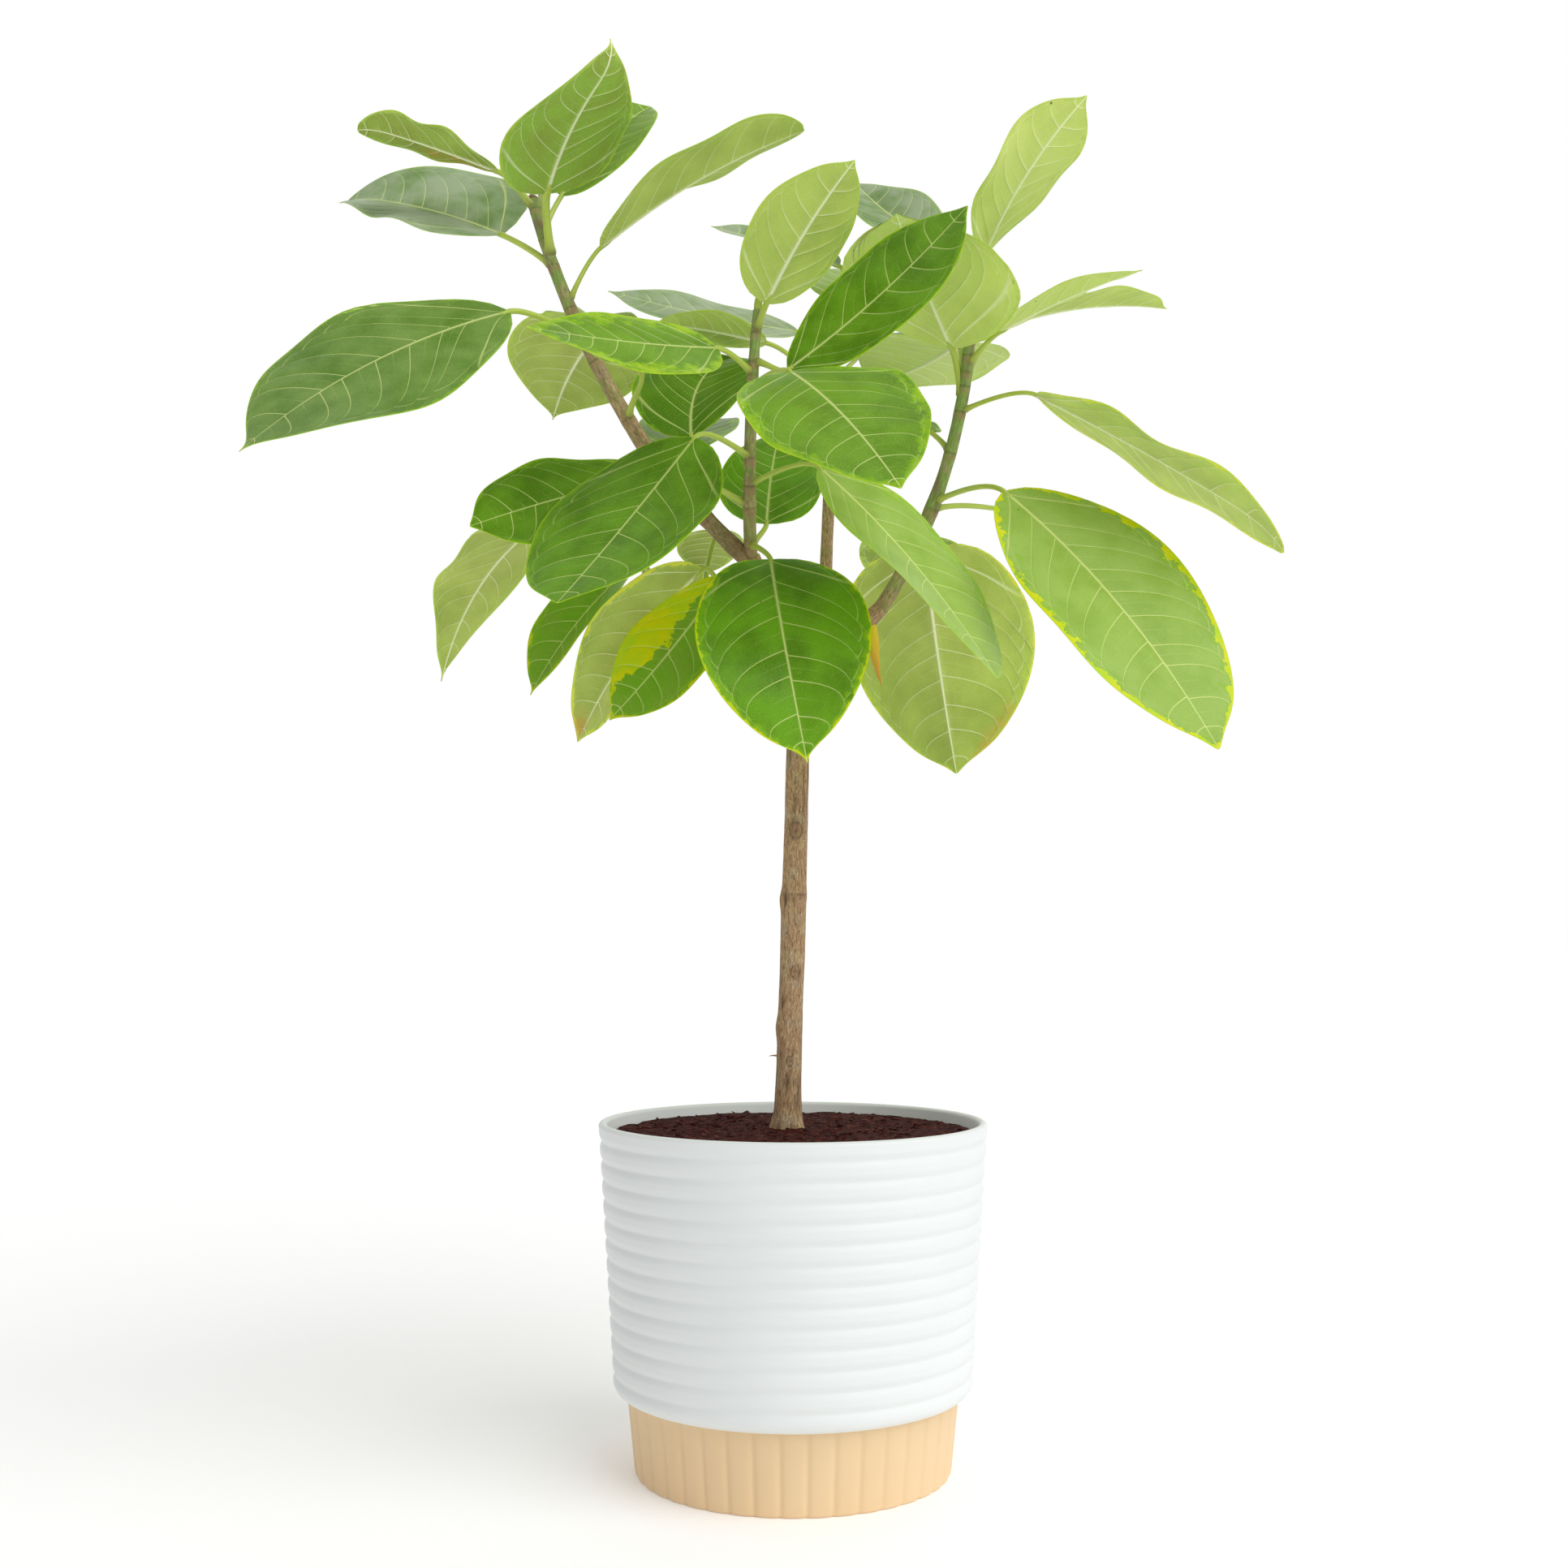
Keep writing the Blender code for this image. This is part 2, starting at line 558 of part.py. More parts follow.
def main():
    """Build the whole plant in its pot."""
    for old in list(bpy.data.objects):
        bpy.data.objects.remove(old)
    white = material("white matt planter", (0.84, 0.84, 0.83), 0.45)
    sand = material("sand-coloured base", (0.80, 0.57, 0.36), 0.55)
    earth = material("potting soil", (0.035, 0.015, 0.012), 0.95)
    bark = material("grey-brown bark", (0.20, 0.14, 0.08), 0.85)
    green = material("green leaf", (0.06, 0.25, 0.02), 0.40)
    rounds = (add_object("planter", *turned(planter_profile(), ROUND_SEGMENTS), white),
              add_object("soil", *turned(soil_profile(), ROUND_SEGMENTS), earth))
    for piece in rounds:
        piece.data.shade_smooth()
        piece.data.set_sharp_from_angle(angle=math.radians(35))
    verts, faces = turned(base_profile(), FLUTE_COUNT * 4)
    add_object("planter_base", fluted(verts), faces, sand)
    axes = axes_of_limbs()
    for name in LIMBS:
        if name in LEAVES:
            made = add_mass(name, axes, green)
        else:
            made = add_limb(name, axes, bark)
        made.data.shade_smooth()
        made.data.set_sharp_from_angle(angle=math.radians(50))


main()
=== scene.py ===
"""Looks of a potted variegated ficus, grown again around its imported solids.

Metres, +Z up, the front faces -Y. Directions are (heading, rise) in degrees: heading turns from +X
towards +Y and rise lifts from level. Every piece is a surface worked out on a grid of two parameters.
"""

import itertools
import json
import logging
import math
from dataclasses import dataclass, field
from enum import Enum

import bpy
import numpy as np
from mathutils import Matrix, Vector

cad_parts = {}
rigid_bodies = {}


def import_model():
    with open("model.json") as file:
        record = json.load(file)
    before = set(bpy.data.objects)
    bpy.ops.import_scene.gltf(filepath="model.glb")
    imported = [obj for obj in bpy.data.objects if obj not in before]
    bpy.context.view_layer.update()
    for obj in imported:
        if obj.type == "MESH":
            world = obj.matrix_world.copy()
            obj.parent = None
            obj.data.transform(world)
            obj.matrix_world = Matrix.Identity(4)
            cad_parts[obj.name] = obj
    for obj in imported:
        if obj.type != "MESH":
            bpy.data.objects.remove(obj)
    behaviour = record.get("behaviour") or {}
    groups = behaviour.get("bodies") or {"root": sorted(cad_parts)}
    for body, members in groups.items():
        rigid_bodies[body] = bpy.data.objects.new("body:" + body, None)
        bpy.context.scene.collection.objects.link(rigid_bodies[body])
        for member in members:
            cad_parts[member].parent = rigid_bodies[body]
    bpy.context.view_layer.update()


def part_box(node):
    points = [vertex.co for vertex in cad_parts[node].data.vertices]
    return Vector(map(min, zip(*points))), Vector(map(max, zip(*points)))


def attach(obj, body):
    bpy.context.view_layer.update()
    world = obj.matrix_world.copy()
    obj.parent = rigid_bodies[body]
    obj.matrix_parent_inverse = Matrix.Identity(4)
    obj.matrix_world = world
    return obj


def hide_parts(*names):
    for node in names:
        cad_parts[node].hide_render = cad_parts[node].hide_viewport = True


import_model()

MM = 0.001
BAKE_MAP = "OFBake"
BAKE_FILL = 0.94  # share of its half of the bake map that a leaf's skin fills
RIM_SPREAD = 1.015  # how far the rim's outer line stands out from the skin's on the bake map
log = logging.getLogger("ficus")


# Small tools

def linear(code: str) -> tuple[float, float, float, float]:
    """Turn an sRGB hex colour into linear light.

    Args:
        code: six hex digits after a hash.
    Returns:
        Linear red, green, blue and an alpha of one.
    """
    parts = [int(code[k:k + 2], 16) / 255 for k in (1, 3, 5)]
    return tuple(p / 12.92 if p <= 0.04045 else ((p + 0.055) / 1.055) ** 2.4 for p in parts) + (1.0,)


def add_node(tree: bpy.types.NodeTree, kind: str, feeds: dict, gives: int | str = 0,
             **settings: object) -> bpy.types.NodeSocket:
    """Add one node with its settings, link or set its inputs, and give one of its outputs.

    Args:
        tree: the node tree.
        kind: the node's Blender type after ShaderNode.
        feeds: a socket, a hex colour or a value by the input's name or number.
        gives: the name or number of the output to give.
        settings: the node's own properties.
    Returns:
        The output asked for.
    """
    made = tree.nodes.new("ShaderNode" + kind)
    for name, value in settings.items():
        setattr(made, name, value)
    for name, value in feeds.items():
        if isinstance(value, bpy.types.NodeSocket):
            tree.links.new(value, made.inputs[name])
        else:
            made.inputs[name].default_value = linear(value) if isinstance(value, str) else value
    return made.outputs[gives]


def to_unit(vectors: np.ndarray) -> np.ndarray:
    """Scale vectors along the last axis to a length of one."""
    return vectors / np.linalg.norm(vectors, axis=-1, keepdims=True)


def direction(heading: float, rise: float) -> np.ndarray:
    """Give the unit vector of a heading and a rise in degrees."""
    h, r = math.radians(heading), math.radians(rise)
    return np.array([math.cos(r) * math.cos(h), math.cos(r) * math.sin(h), math.sin(r)])


def circle(count: int, start: float = 0) -> np.ndarray:
    """Give the angles of a full turn in even steps, in radians, the first one a share of a step on."""
    return (np.arange(count) + start) * 2 * math.pi / count


def bell(offset: np.ndarray, reach: float) -> np.ndarray:
    """Give a bell curve: e to the power of minus the square of the offset over its reach."""
    return np.exp(-(offset / reach) ** 2)


def turned(radius: np.ndarray, height: np.ndarray, turn: np.ndarray) -> np.ndarray:
    """Turn a profile about Z: x and y are the radius times the angle's cosine and sine.

    Args:
        radius: a radius for each profile point, or for each angle too.
        height: a height for each profile point.
        turn: the angles in radians.
    Returns:
        Points by profile point and by angle.
    """
    x, y = radius * np.cos(turn), radius * np.sin(turn)
    return np.stack([x, y, np.broadcast_to(height, x.shape)], axis=-1)


def smooth_noise(points: np.ndarray, cell: float, seed: int) -> np.ndarray:
    """Blend random values, set on the corners of a cubic lattice, by a smooth step in each direction.

    Args:
        points: places, three numbers each.
        cell: the lattice's spacing in metres.
        seed: picks the random values.
    Returns:
        A number from -1 to 1 for each place.
    """
    scaled = points / cell + 0.37 * seed
    corner_of = np.floor(scaled).astype(np.int64)
    part = scaled - corner_of
    part = part * part * (3 - 2 * part)
    total = np.zeros(points.shape[:-1])
    for corner in itertools.product((0, 1), repeat=3):
        x, y, z = np.moveaxis(corner_of + corner, -1, 0)
        mixed = (x * 73856093) ^ (y * 19349663) ^ (z * 83492791) ^ (seed * 2654435)
        mixed = (mixed ^ (mixed >> 13)) * 1274126177
        value = ((mixed ^ (mixed >> 15)) & 0xFFFF) / 32767.5 - 1
        total += value * np.prod(np.where(corner, part, 1 - part), axis=-1)
    return total


def grid_faces(rows: int, columns: int, around: bool = False) -> np.ndarray:
    """Number the corners of a grid's quads, which face along (column way) x (row way).

    Args:
        rows: points along the grid.
        columns: points across the grid.
        around: joins the last column to the first.
    Returns:
        Four corner numbers for each face.
    """
    across = columns if around else columns - 1
    row, column = np.meshgrid(np.arange(rows - 1), np.arange(across), indexing="ij")
    near = row * columns + column
    beside = row * columns + (column + 1) % columns
    return np.stack([near, beside, beside + columns, near + columns], axis=-1).reshape(-1, 4)


@dataclass
class Surface:
    """Points and faces with marks on each point, gathered before they become a piece.

    slots gives each face's material by number, and bake_places each face corner's place on the bake map.
    """

    points: np.ndarray
    faces: list[np.ndarray]
    marks: dict[str, np.ndarray] = field(default_factory=dict)
    slots: np.ndarray | None = None
    bake_places: np.ndarray | None = None

    @classmethod
    def of_rings(cls, rings: np.ndarray, marks: dict[str, np.ndarray],
                 tip: np.ndarray | None = None) -> "Surface":
        """Close a row of rings with a fan at each end, the first one round the middle of its ring.

        Args:
            rings: points by ring and by place around it, counter-clockwise seen from the tip.
            marks: numbers for each ring point, one or three of them.
            tip: the point that closes the last ring, or none for its middle.
        Returns:
            The closed surface.
        """
        rows, columns = rings.shape[:2]
        last = rings[-1].mean(axis=0) if tip is None else tip
        points = np.vstack([rings.reshape(-1, 3), rings[0].mean(axis=0), last])
        here = np.arange(columns)
        beside = (here + 1) % columns
        end = (rows - 1) * columns
        foot_fan = np.stack([np.full(columns, rows * columns), beside, here], axis=1)
        tip_fan = np.stack([np.full(columns, rows * columns + 1), end + here, end + beside], axis=1)
        full = {}
        for name, values in marks.items():
            flat = values.reshape(rows * columns, -1)
            full[name] = np.vstack([flat, values[0].reshape(columns, -1).mean(axis=0),
                                    values[-1].reshape(columns, -1).mean(axis=0)])
        return cls(points, [grid_faces(rows, columns, around=True), foot_fan, tip_fan], full)

    @classmethod
    def joined(cls, surfaces: list["Surface"]) -> "Surface":
        """Put several surfaces into one, each still closed in itself.

        Args:
            surfaces: surfaces with the same marks.
        Returns:
            One surface with all their points and faces.
        """
        starts = np.cumsum([0] + [len(s.points) for s in surfaces])
        faces = [group + start for s, start in zip(surfaces, starts) for group in s.faces]
        marks = {name: np.vstack([s.marks[name] for s in surfaces]) for name in surfaces[0].marks}
        return cls(np.vstack([s.points for s in surfaces]), faces, marks)

    def piece(self, name: str, slot: str, nodes: tuple[str, ...], finishes: list[bpy.types.Material],
              sharp: float = 60.0) -> bpy.types.Object:
        """Make the mesh object, hang it on the root body and hide the solids that it stands for.

        Args:
            name: the piece's name.
            slot: the record's material slot, not used.
            nodes: the CAD nodes that it replaces.
            finishes: the materials, in the order of the surface's slots.
            sharp: the angle in degrees from which an edge shows as an edge.
        Returns:
            The object.
        """
        mesh = bpy.data.meshes.new(name)
        mesh.from_pydata(self.points.tolist(), [], [face for group in self.faces for face in group.tolist()])
        for mark, values in self.marks.items():
            kind, entry = ("FLOAT_VECTOR", "vector") if values.shape[1] == 3 else ("FLOAT", "value")
            kept = mesh.attributes.new(mark, kind, "POINT")
            kept.data.foreach_set(entry, values.astype(np.float32).ravel())
        for finish in finishes:
            mesh.materials.append(finish)
        if self.slots is not None:
            mesh.polygons.foreach_set("material_index", self.slots.astype(np.int32))
        if self.bake_places is not None:
            places = mesh.uv_layers.new(name=BAKE_MAP)
            places.data.foreach_set("uv", self.bake_places.astype(np.float32).ravel())
        mesh.shade_smooth()
        mesh.set_sharp_from_angle(angle=math.radians(sharp))
        mesh.update()
        made = bpy.data.objects.new(name, mesh)
        bpy.context.scene.collection.objects.link(made)
        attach(made, "root")
        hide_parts(*nodes)
        mesh.calc_loop_triangles()
        log.info("%s: %d triangles", name, len(mesh.loop_triangles))
        return made


def rings_along(path: np.ndarray, radii: np.ndarray, sides: int) -> tuple[np.ndarray, np.ndarray]:
    """Carry a circle along a path: each point is the path's plus a radius times a turned side vector.

    Args:
        path: points of the path.
        radii: a radius for each path point, or for each point of each ring.
        sides: points around a ring.
    Returns:
        The rings, and each point's place on the limb drawn out straight: across, across and along.
    """
    way = to_unit(np.gradient(path, axis=0))
    spread = np.cross(way[0], way[-1])
    if np.linalg.norm(spread) < 0.02:
        spread = np.cross(way[0], np.eye(3)[np.argmin(abs(way[0]))])
    side = to_unit(spread - way * (way @ spread)[:, None])
    up = np.cross(way, side)
    turn = circle(sides)
    radii = np.broadcast_to(radii.reshape(len(path), -1), (len(path), sides))[..., None]
    out = np.cos(turn)[:, None] * side[:, None] + np.sin(turn)[:, None] * up[:, None]
    along = np.concatenate([[0], np.cumsum(np.linalg.norm(np.diff(path, axis=0), axis=1))])
    straight = np.concatenate([radii * np.cos(turn)[:, None], radii * np.sin(turn)[:, None],
                               np.broadcast_to(along[:, None, None], radii.shape)], axis=-1)
    return path[:, None] + radii * out, straight


# How the plant grows: the same rule and the same limbs and leaves as the solids

class Tone(Enum):
    """How light a leaf is, from 0 for the deepest to 1 for the palest, its painted sheen and lively green.

    The sheen is a painted reflection: the grey-green glare of a glossy cuticle, mixed into the colour.
    """

    DEEP = (0.00, 0.0, 0.12)
    RICH = (0.12, 0.1, 0.00)
    MID = (0.35, 0.0, 0.00)
    PALE = (0.60, 0.0, 0.00)
    BRIGHT = (0.90, 0.1, 0.00)
    # GREY is a dull green under much painted sheen, a painted reflection.
    GREY = (0.15, 0.8, 0.00)
    VIVID = (0.10, 0.0, 0.60)
    LIVELY = (0.25, 0.0, 0.30)
    FULL = (0.05, 0.0, 0.35)
    # Paler to paint light onto low leaves that lie in shade, with lively green of their own.
    LIVELY_PAINTED_LIGHT = (0.70, 0.0, 0.60)
    PALEST = (1.00, 0.3, 0.00)


@dataclass(frozen=True)
class Patch:
    """A golden or scorched patch: its middle and reach as (share along, share across) of the blade."""

    middle: tuple[float, float]
    reach: tuple[float, float]


class Margin(Enum):
    """Widths in metres along a leaf's edge: of its fresher zone and of its broken golden margin."""

    PLAIN = (3.0 * MM, 0.0)
    FRESH = (8.0 * MM, 0.0)
    WIDE = (14.0 * MM, 0.0)
    FLECKED = (6.0 * MM, 1.8 * MM)
    GOLD = (6.0 * MM, 3.6 * MM)
    BROAD = (9.0 * MM, 5.4 * MM)


@dataclass(frozen=True)
class Limb:
    """A round limb that turns evenly from one direction to another as it grows.

    share is how far along its parent it starts, radii are those of its foot and its end, age goes from 0
    for a green shoot to 1 for old bark, and stain darkens all of it: partly darker bark and partly
    painted shade.
    """

    parent: str
    share: float
    length: float
    start: tuple[float, float]
    end: tuple[float, float]
    radii: tuple[float, float]
    age: tuple[float, float] = (1.0, 1.0)
    stain_and_shade: float = 0.0


@dataclass(frozen=True)
class Form:
    """A blade's form: how far it bends, sweeps, folds, twists and hooks in degrees, and its outline.

    peak is the share along it where it is widest, tip the power that narrows it there, wave how high its
    margins wave, and girth how stout its stalk is.
    """

    bend: float = 20
    sweep: float = 0
    fold: float = 8
    peak: float = 0.45
    tip: float = 0.85
    twist: float = 0
    hook: float = 0
    wave: float = 1.0
    girth: float = 1.0


@dataclass(frozen=True)
class Look:
    """A blade's tints: its tone, its margin, a golden patch and a scorched one."""

    tone: Tone = Tone.MID
    margin: Margin = Margin.PLAIN
    patch: Patch | None = None
    scorch: Patch | None = None


@dataclass(frozen=True)
class Leaf:
    """A leaf: its place on the stem, its stalk, its blade and how the blade looks.

    share is how far along the stem it grows, stalk its (heading, rise, length), blade the blade's (heading,
    pitch, roll) and size its (length, width).
    """

    share: float
    stalk: tuple[float, float, float]
    blade: tuple[float, float, float]
    size: tuple[float, float]
    form: Form = Form()
    look: Look = Look()


TRUNK_FOOT_X = -0.004
TRUNK_FOOT_Y = -0.008
AXIS_STEPS = 96

LIMBS = {
    "trunk": Limb("", 0, 0.295, (-1, 88), (65, 87), (0.0084, 0.0078)),
    "front_bough": Limb("trunk", 1.0, 0.093, (-145, 69), (-131, 53), (0.0071, 0.0064), (0.95, 0.85)),
    # The last number of the left and right boughs darkens them: partly darker bark, partly painted shade.
    "left_bough": Limb("front_bough", 0.93, 0.095, (-151, 36), (-178, 50), (0.0056, 0.0054),
                       (0.78, 0.48), 0.40),
    "back_bough": Limb("trunk", 0.97, 0.099, (40, 72), (72, 62), (0.0049, 0.0046), (0.95, 0.95)),
    "right_bough": Limb("trunk", 0.96, 0.086, (14, 55), (-4, 43), (0.0058, 0.0054), (0.9, 0.75), 0.15),
    "left_foliage": Limb("left_bough", 1.0, 0.207, (-180, 56), (142, 71), (0.0054, 0.0036), (0.75, 0.30)),
    "centre_foliage": Limb("front_bough", 1.0, 0.163, (-92, 45), (-189, 95), (0.0044, 0.0030), (0.62, 0.35)),
    "right_foliage": Limb("right_bough", 1.0, 0.187, (-24, 54), (-64, 81), (0.0052, 0.0038), (0.60, 0.12)),
    "back_foliage": Limb("back_bough", 1.0, 0.219, (84, 65), (81, 76), (0.0045, 0.0030), (0.80, 0.25)),
    "low_foliage": Limb("front_bough", 0.62, 0.117, (143, 13), (140, 21), (0.0038, 0.0028), (0.60, 0.30)),
}

LEAVES = {
    "left_foliage": (
        Leaf(0.00, (83, 18, 0.105), (88, 25, 0), (0.144, 0.075), look=Look(margin=Margin.FRESH)),
        Leaf(0.01, (145, -17, 0.090), (140, -41, -13), (0.165, 0.088),
             Form(61, -15, 6, 0.30, 1.08, twist=21, wave=1.6)),
        Leaf(0.05, (25, 21, 0.034), (67, 45, 10), (0.114, 0.087),
             Form(43, 40, 13, 0.41, 0.88, twist=7), Look(Tone.DEEP)),
        Leaf(0.16, (-75, 32, 0.043), (-157, 20, 5), (0.060, 0.045), Form(20, 0, 10), Look(Tone.RICH)),
        Leaf(0.38, (84, 42, 0.062), (116, -16, 13), (0.128, 0.101), Form(21, 18, 4, 0.46, 1.03, twist=2)),
        Leaf(0.47, (-141, 6, 0.057), (-153, -34, -41), (0.202, 0.145),
             Form(22, -10, 0, 0.55, 0.98, twist=23, girth=1.1), Look(Tone.RICH)),
        Leaf(0.58, (88, 16, 0.080), (94, 7, 0), (0.133, 0.072), Form(25)),
        Leaf(0.60, (-16, 58, 0.043), (-2, 30, 9), (0.157, 0.090),
             Form(15, -19, 12, 0.47, 0.46, twist=-10, girth=0.85), Look(Tone.PALE)),
        Leaf(0.74, (149, 35, 0.055), (159, 20, -40), (0.137, 0.107),
             Form(11, -12, 14, 0.32, 0.46, twist=-3, hook=20, wave=1.5, girth=1.15), Look(Tone.GREY)),
        Leaf(0.77, (-96, 71, 0.042), (-57, 26, 15), (0.121, 0.090),
             Form(16, -15, 0, 0.35, 0.93, twist=2, hook=-80, wave=1.5, girth=1.55), Look(Tone.FULL)),
        Leaf(0.84, (100, 44, 0.099), (91, 33, 0), (0.144, 0.070), look=Look(Tone.GREY)),
        Leaf(0.86, (53, 63, 0.038), (40, 49, 40), (0.114, 0.067),
             Form(30, 3, 16, 0.42, 0.63, twist=-2)),
        Leaf(0.96, (-161, 43, 0.034), (-174, 17, -1), (0.098, 0.052),
             Form(10, -9, 9, 0.51, 0.45, twist=16, hook=25, wave=1.9, girth=1.1),
             Look(Tone.DEEP, scorch=Patch((0.30, -0.60), (0.35, 0.60)))),
    ),
    "centre_foliage": (
        Leaf(0.04, (61, 45, 0.030), (82, 51, 7), (0.107, 0.072),
             Form(14, 6, 3, 0.36, twist=-1), Look(Tone.VIVID)),
        Leaf(0.06, (-68, -25, 0.040), (-68, -66, 18), (0.154, 0.109),
             Form(55, -10, 9, 0.47, 0.86, twist=9), Look(Tone.VIVID, Margin.FLECKED)),
        Leaf(0.23, (-162, 17, 0.060), (-164, -19, -50), (0.130, 0.080),
             Form(1, -10, 1, 0.58, 0.66, twist=-2), Look(Tone.FULL)),
        Leaf(0.32, (-39, 2, 0.057), (-18, -51, 26), (0.178, 0.095),
             Form(10, 15, 7, 0.53, 0.49, twist=-27, girth=0.85), Look(Tone.BRIGHT, Margin.FRESH)),
        Leaf(0.43, (-130, 2, 0.052), (-135, -48, -14), (0.160, 0.122),
             Form(-22, -24, 3, 0.46, 0.64), Look(Tone.FULL)),
        Leaf(0.70, (-66, -6, 0.058), (-58, -40, 22), (0.151, 0.107),
             Form(23, 0, 2, 0.40, 0.70, twist=9), Look(Tone.LIVELY, Margin.FRESH)),
        Leaf(0.75, (-134, 17, 0.033), (-149, -4, -44), (0.128, 0.077),
             Form(-6, 6, 0, 0.41, 0.71, twist=9), Look(Tone.LIVELY, Margin.WIDE)),
        Leaf(0.80, (-31, -21, 0.027), (-13, 40, 62), (0.149, 0.080),
             Form(-7, -12, 3, 0.51, 0.68, twist=-8), Look(Tone.FULL)),
        Leaf(0.91, (-57, 51, 0.020), (-49, 39, -8), (0.105, 0.068),
             Form(15, -6, 10, 0.41, 0.71, twist=-9, girth=1.1), Look(Tone.PALE)),
    ),
    "right_foliage": (
        Leaf(0.04, (58, 38, 0.072), (68, -64, -13), (0.176, 0.149),
             Form(49, 8, 20, 0.45, 0.71, twist=19, girth=1.2),
             Look(Tone.MID, Margin.FLECKED, scorch=Patch((0.86, -1.0), (0.17, 0.42)))),
        Leaf(0.16, (91, 25, 0.110), (70, -20, 0), (0.149, 0.085), Form(30), Look(Tone.DEEP, Margin.FRESH)),
        Leaf(0.40, (41, 8, 0.084), (49, -6, 10), (0.134, 0.078), Form(25), Look(Tone.MID, Margin.FLECKED)),
        Leaf(0.43, (-55, -6, 0.070), (-28, -52, 39), (0.220, 0.119),
             Form(18, 10, 6, 0.50, 0.66, twist=-8), Look(Tone.BRIGHT, Margin.BROAD)),
        Leaf(0.61, (125, 43, 0.029), (116, 23, 10), (0.100, 0.048), Form(15), Look(Tone.DEEP)),
        Leaf(0.76, (-37, 1, 0.058), (-15, -34, -4), (0.191, 0.096),
             Form(8, 1, 0, 0.46, 0.48, twist=-8, hook=25, wave=1.6, girth=0.85),
             Look(Tone.PALE, Margin.GOLD)),
        Leaf(0.80, (-140, 75, 0.035), (-121, 39, -16), (0.103, 0.143),
             Form(-9, 2, 4, 0.49, 0.75, girth=1.3), Look(Tone.BRIGHT)),
        Leaf(0.85, (92, 50, 0.054), (111, 5, 5), (0.149, 0.109),
             Form(4, -25, 8, 0.39, 0.65, twist=14), Look(Tone.PALEST)),
        Leaf(0.90, (35, 46, 0.058), (18, 11, 7), (0.124, 0.067),
             Form(22, -7, 11, 0.48, 0.77, twist=2, wave=1.5), Look(Tone.PALE)),
        Leaf(0.92, (-42, 34, 0.032), (-19, 18, 9), (0.099, 0.053),
             Form(13, 0, 9, 0.42, 0.79, twist=3), Look(Tone.BRIGHT)),
        Leaf(0.94, (85, 36, 0.140), (90, 30, 0), (0.139, 0.080), Form(25), Look(Tone.MID, Margin.FRESH)),
        Leaf(0.96, (50, 75, 0.077), (-52, 39, 19), (0.124, 0.082),
             Form(7, -32, 1, 0.53, 0.74, twist=-27, wave=2.2), Look(Tone.BRIGHT)),
    ),
    "back_foliage": (
        Leaf(0.35, (84, 25, 0.066), (79, 20, 0), (0.142, 0.085), Form(25)),
        Leaf(0.55, (100, 23, 0.082), (101, 22, -10), (0.139, 0.085), Form(25), Look(Tone.MID, Margin.GOLD)),
        Leaf(0.67, (-125, 16, 0.086), (-176, 9, 15), (0.080, 0.041), Form(10), Look(Tone.PALE)),
        Leaf(0.74, (70, 34, 0.079), (75, 23, 10), (0.137, 0.080), Form(30), Look(Tone.DEEP, Margin.WIDE)),
        Leaf(0.77, (-145, 44, 0.043), (-173, 10, -36), (0.141, 0.079),
             Form(-6, 6, 1, 0.46, 0.79, twist=-4), Look(Tone.GREY)),
        Leaf(0.90, (-28, 39, 0.103), (131, 41, -29), (0.111, 0.064),
             Form(-8, 11, 15, 0.42, 0.86), Look(Tone.GREY)),
        Leaf(0.98, (67, 80, 0.050), (166, 22, -31), (0.108, 0.060),
             Form(4, 1, 11, 0.44, 0.80, twist=-1), Look(Tone.GREY)),
        Leaf(0.99, (83, 41, 0.050), (71, 34, 0), (0.097, 0.070), look=Look(Tone.BRIGHT)),
    ),
    # Two low leaves are paler by painted light, where they lie in shade.
    "low_foliage": (
        Leaf(0.13, (-119, 19, 0.038), (-167, -52, -54), (0.125, 0.065),
             Form(13, 20, 4, 0.52, 0.78, twist=-2),
             Look(Tone.LIVELY_PAINTED_LIGHT, Margin.FLECKED, Patch((0.47, -0.85), (0.46, 0.64)))),
        Leaf(0.29, (-131, 27, 0.034), (-174, -55, 35), (0.144, 0.082),
             Form(27, 6, 10, 0.47, 0.70, twist=-3),
             Look(Tone.MID, Margin.GOLD, scorch=Patch((0.99, 0.4), (0.15, 0.9)))),
        Leaf(0.51, (82, 50, 0.070), (99, -10, 0), (0.090, 0.050), Form(10, 0, 6), Look(Tone.DEEP)),
        Leaf(0.64, (107, 7, 0.088), (102, -14, 0), (0.122, 0.080),
             Form(30), Look(Tone.DEEP, Margin.FLECKED)),
        Leaf(0.95, (-108, 9, 0.030), (-157, -52, -22), (0.123, 0.068),
             Form(24, -3, 18, 0.42, 0.88, twist=-7), Look(Tone.LIVELY_PAINTED_LIGHT, Margin.FLECKED)),
        Leaf(0.95, (126, 30, 0.088), (111, 18, -5), (0.136, 0.080), Form(25), Look(Tone.DEEP)),
    ),
}


def limb_axis(foot: np.ndarray, limb: Limb) -> np.ndarray:
    """Step along a limb, each step a little further on the arc from the start to the end direction.

    Args:
        foot: where the limb starts.
        limb: its length and directions.
    Returns:
        The points of its axis.
    """
    first, last = direction(*limb.start), direction(*limb.end)
    angle = math.acos(float(np.clip(first @ last, -1, 1)))
    share = ((np.arange(AXIS_STEPS) + 0.5) / AXIS_STEPS)[:, None]
    way = (np.sin((1 - share) * angle) * first + np.sin(share * angle) * last) / math.sin(angle)
    return np.vstack([foot, foot + np.cumsum(way * limb.length / AXIS_STEPS, axis=0)])


def place_on(axis: np.ndarray, share: float) -> tuple[np.ndarray, np.ndarray]:
    """Find a place on an axis, between the two points on either side of it.

    Args:
        axis: the axis's points, evenly spaced.
        share: how far along it, from 0 to 1.
    Returns:
        The point and the unit direction there.
    """
    at = share * (len(axis) - 1)
    low = min(int(at), len(axis) - 2)
    step = axis[low + 1] - axis[low]
    return axis[low] + (at - low) * step, step / np.linalg.norm(step)


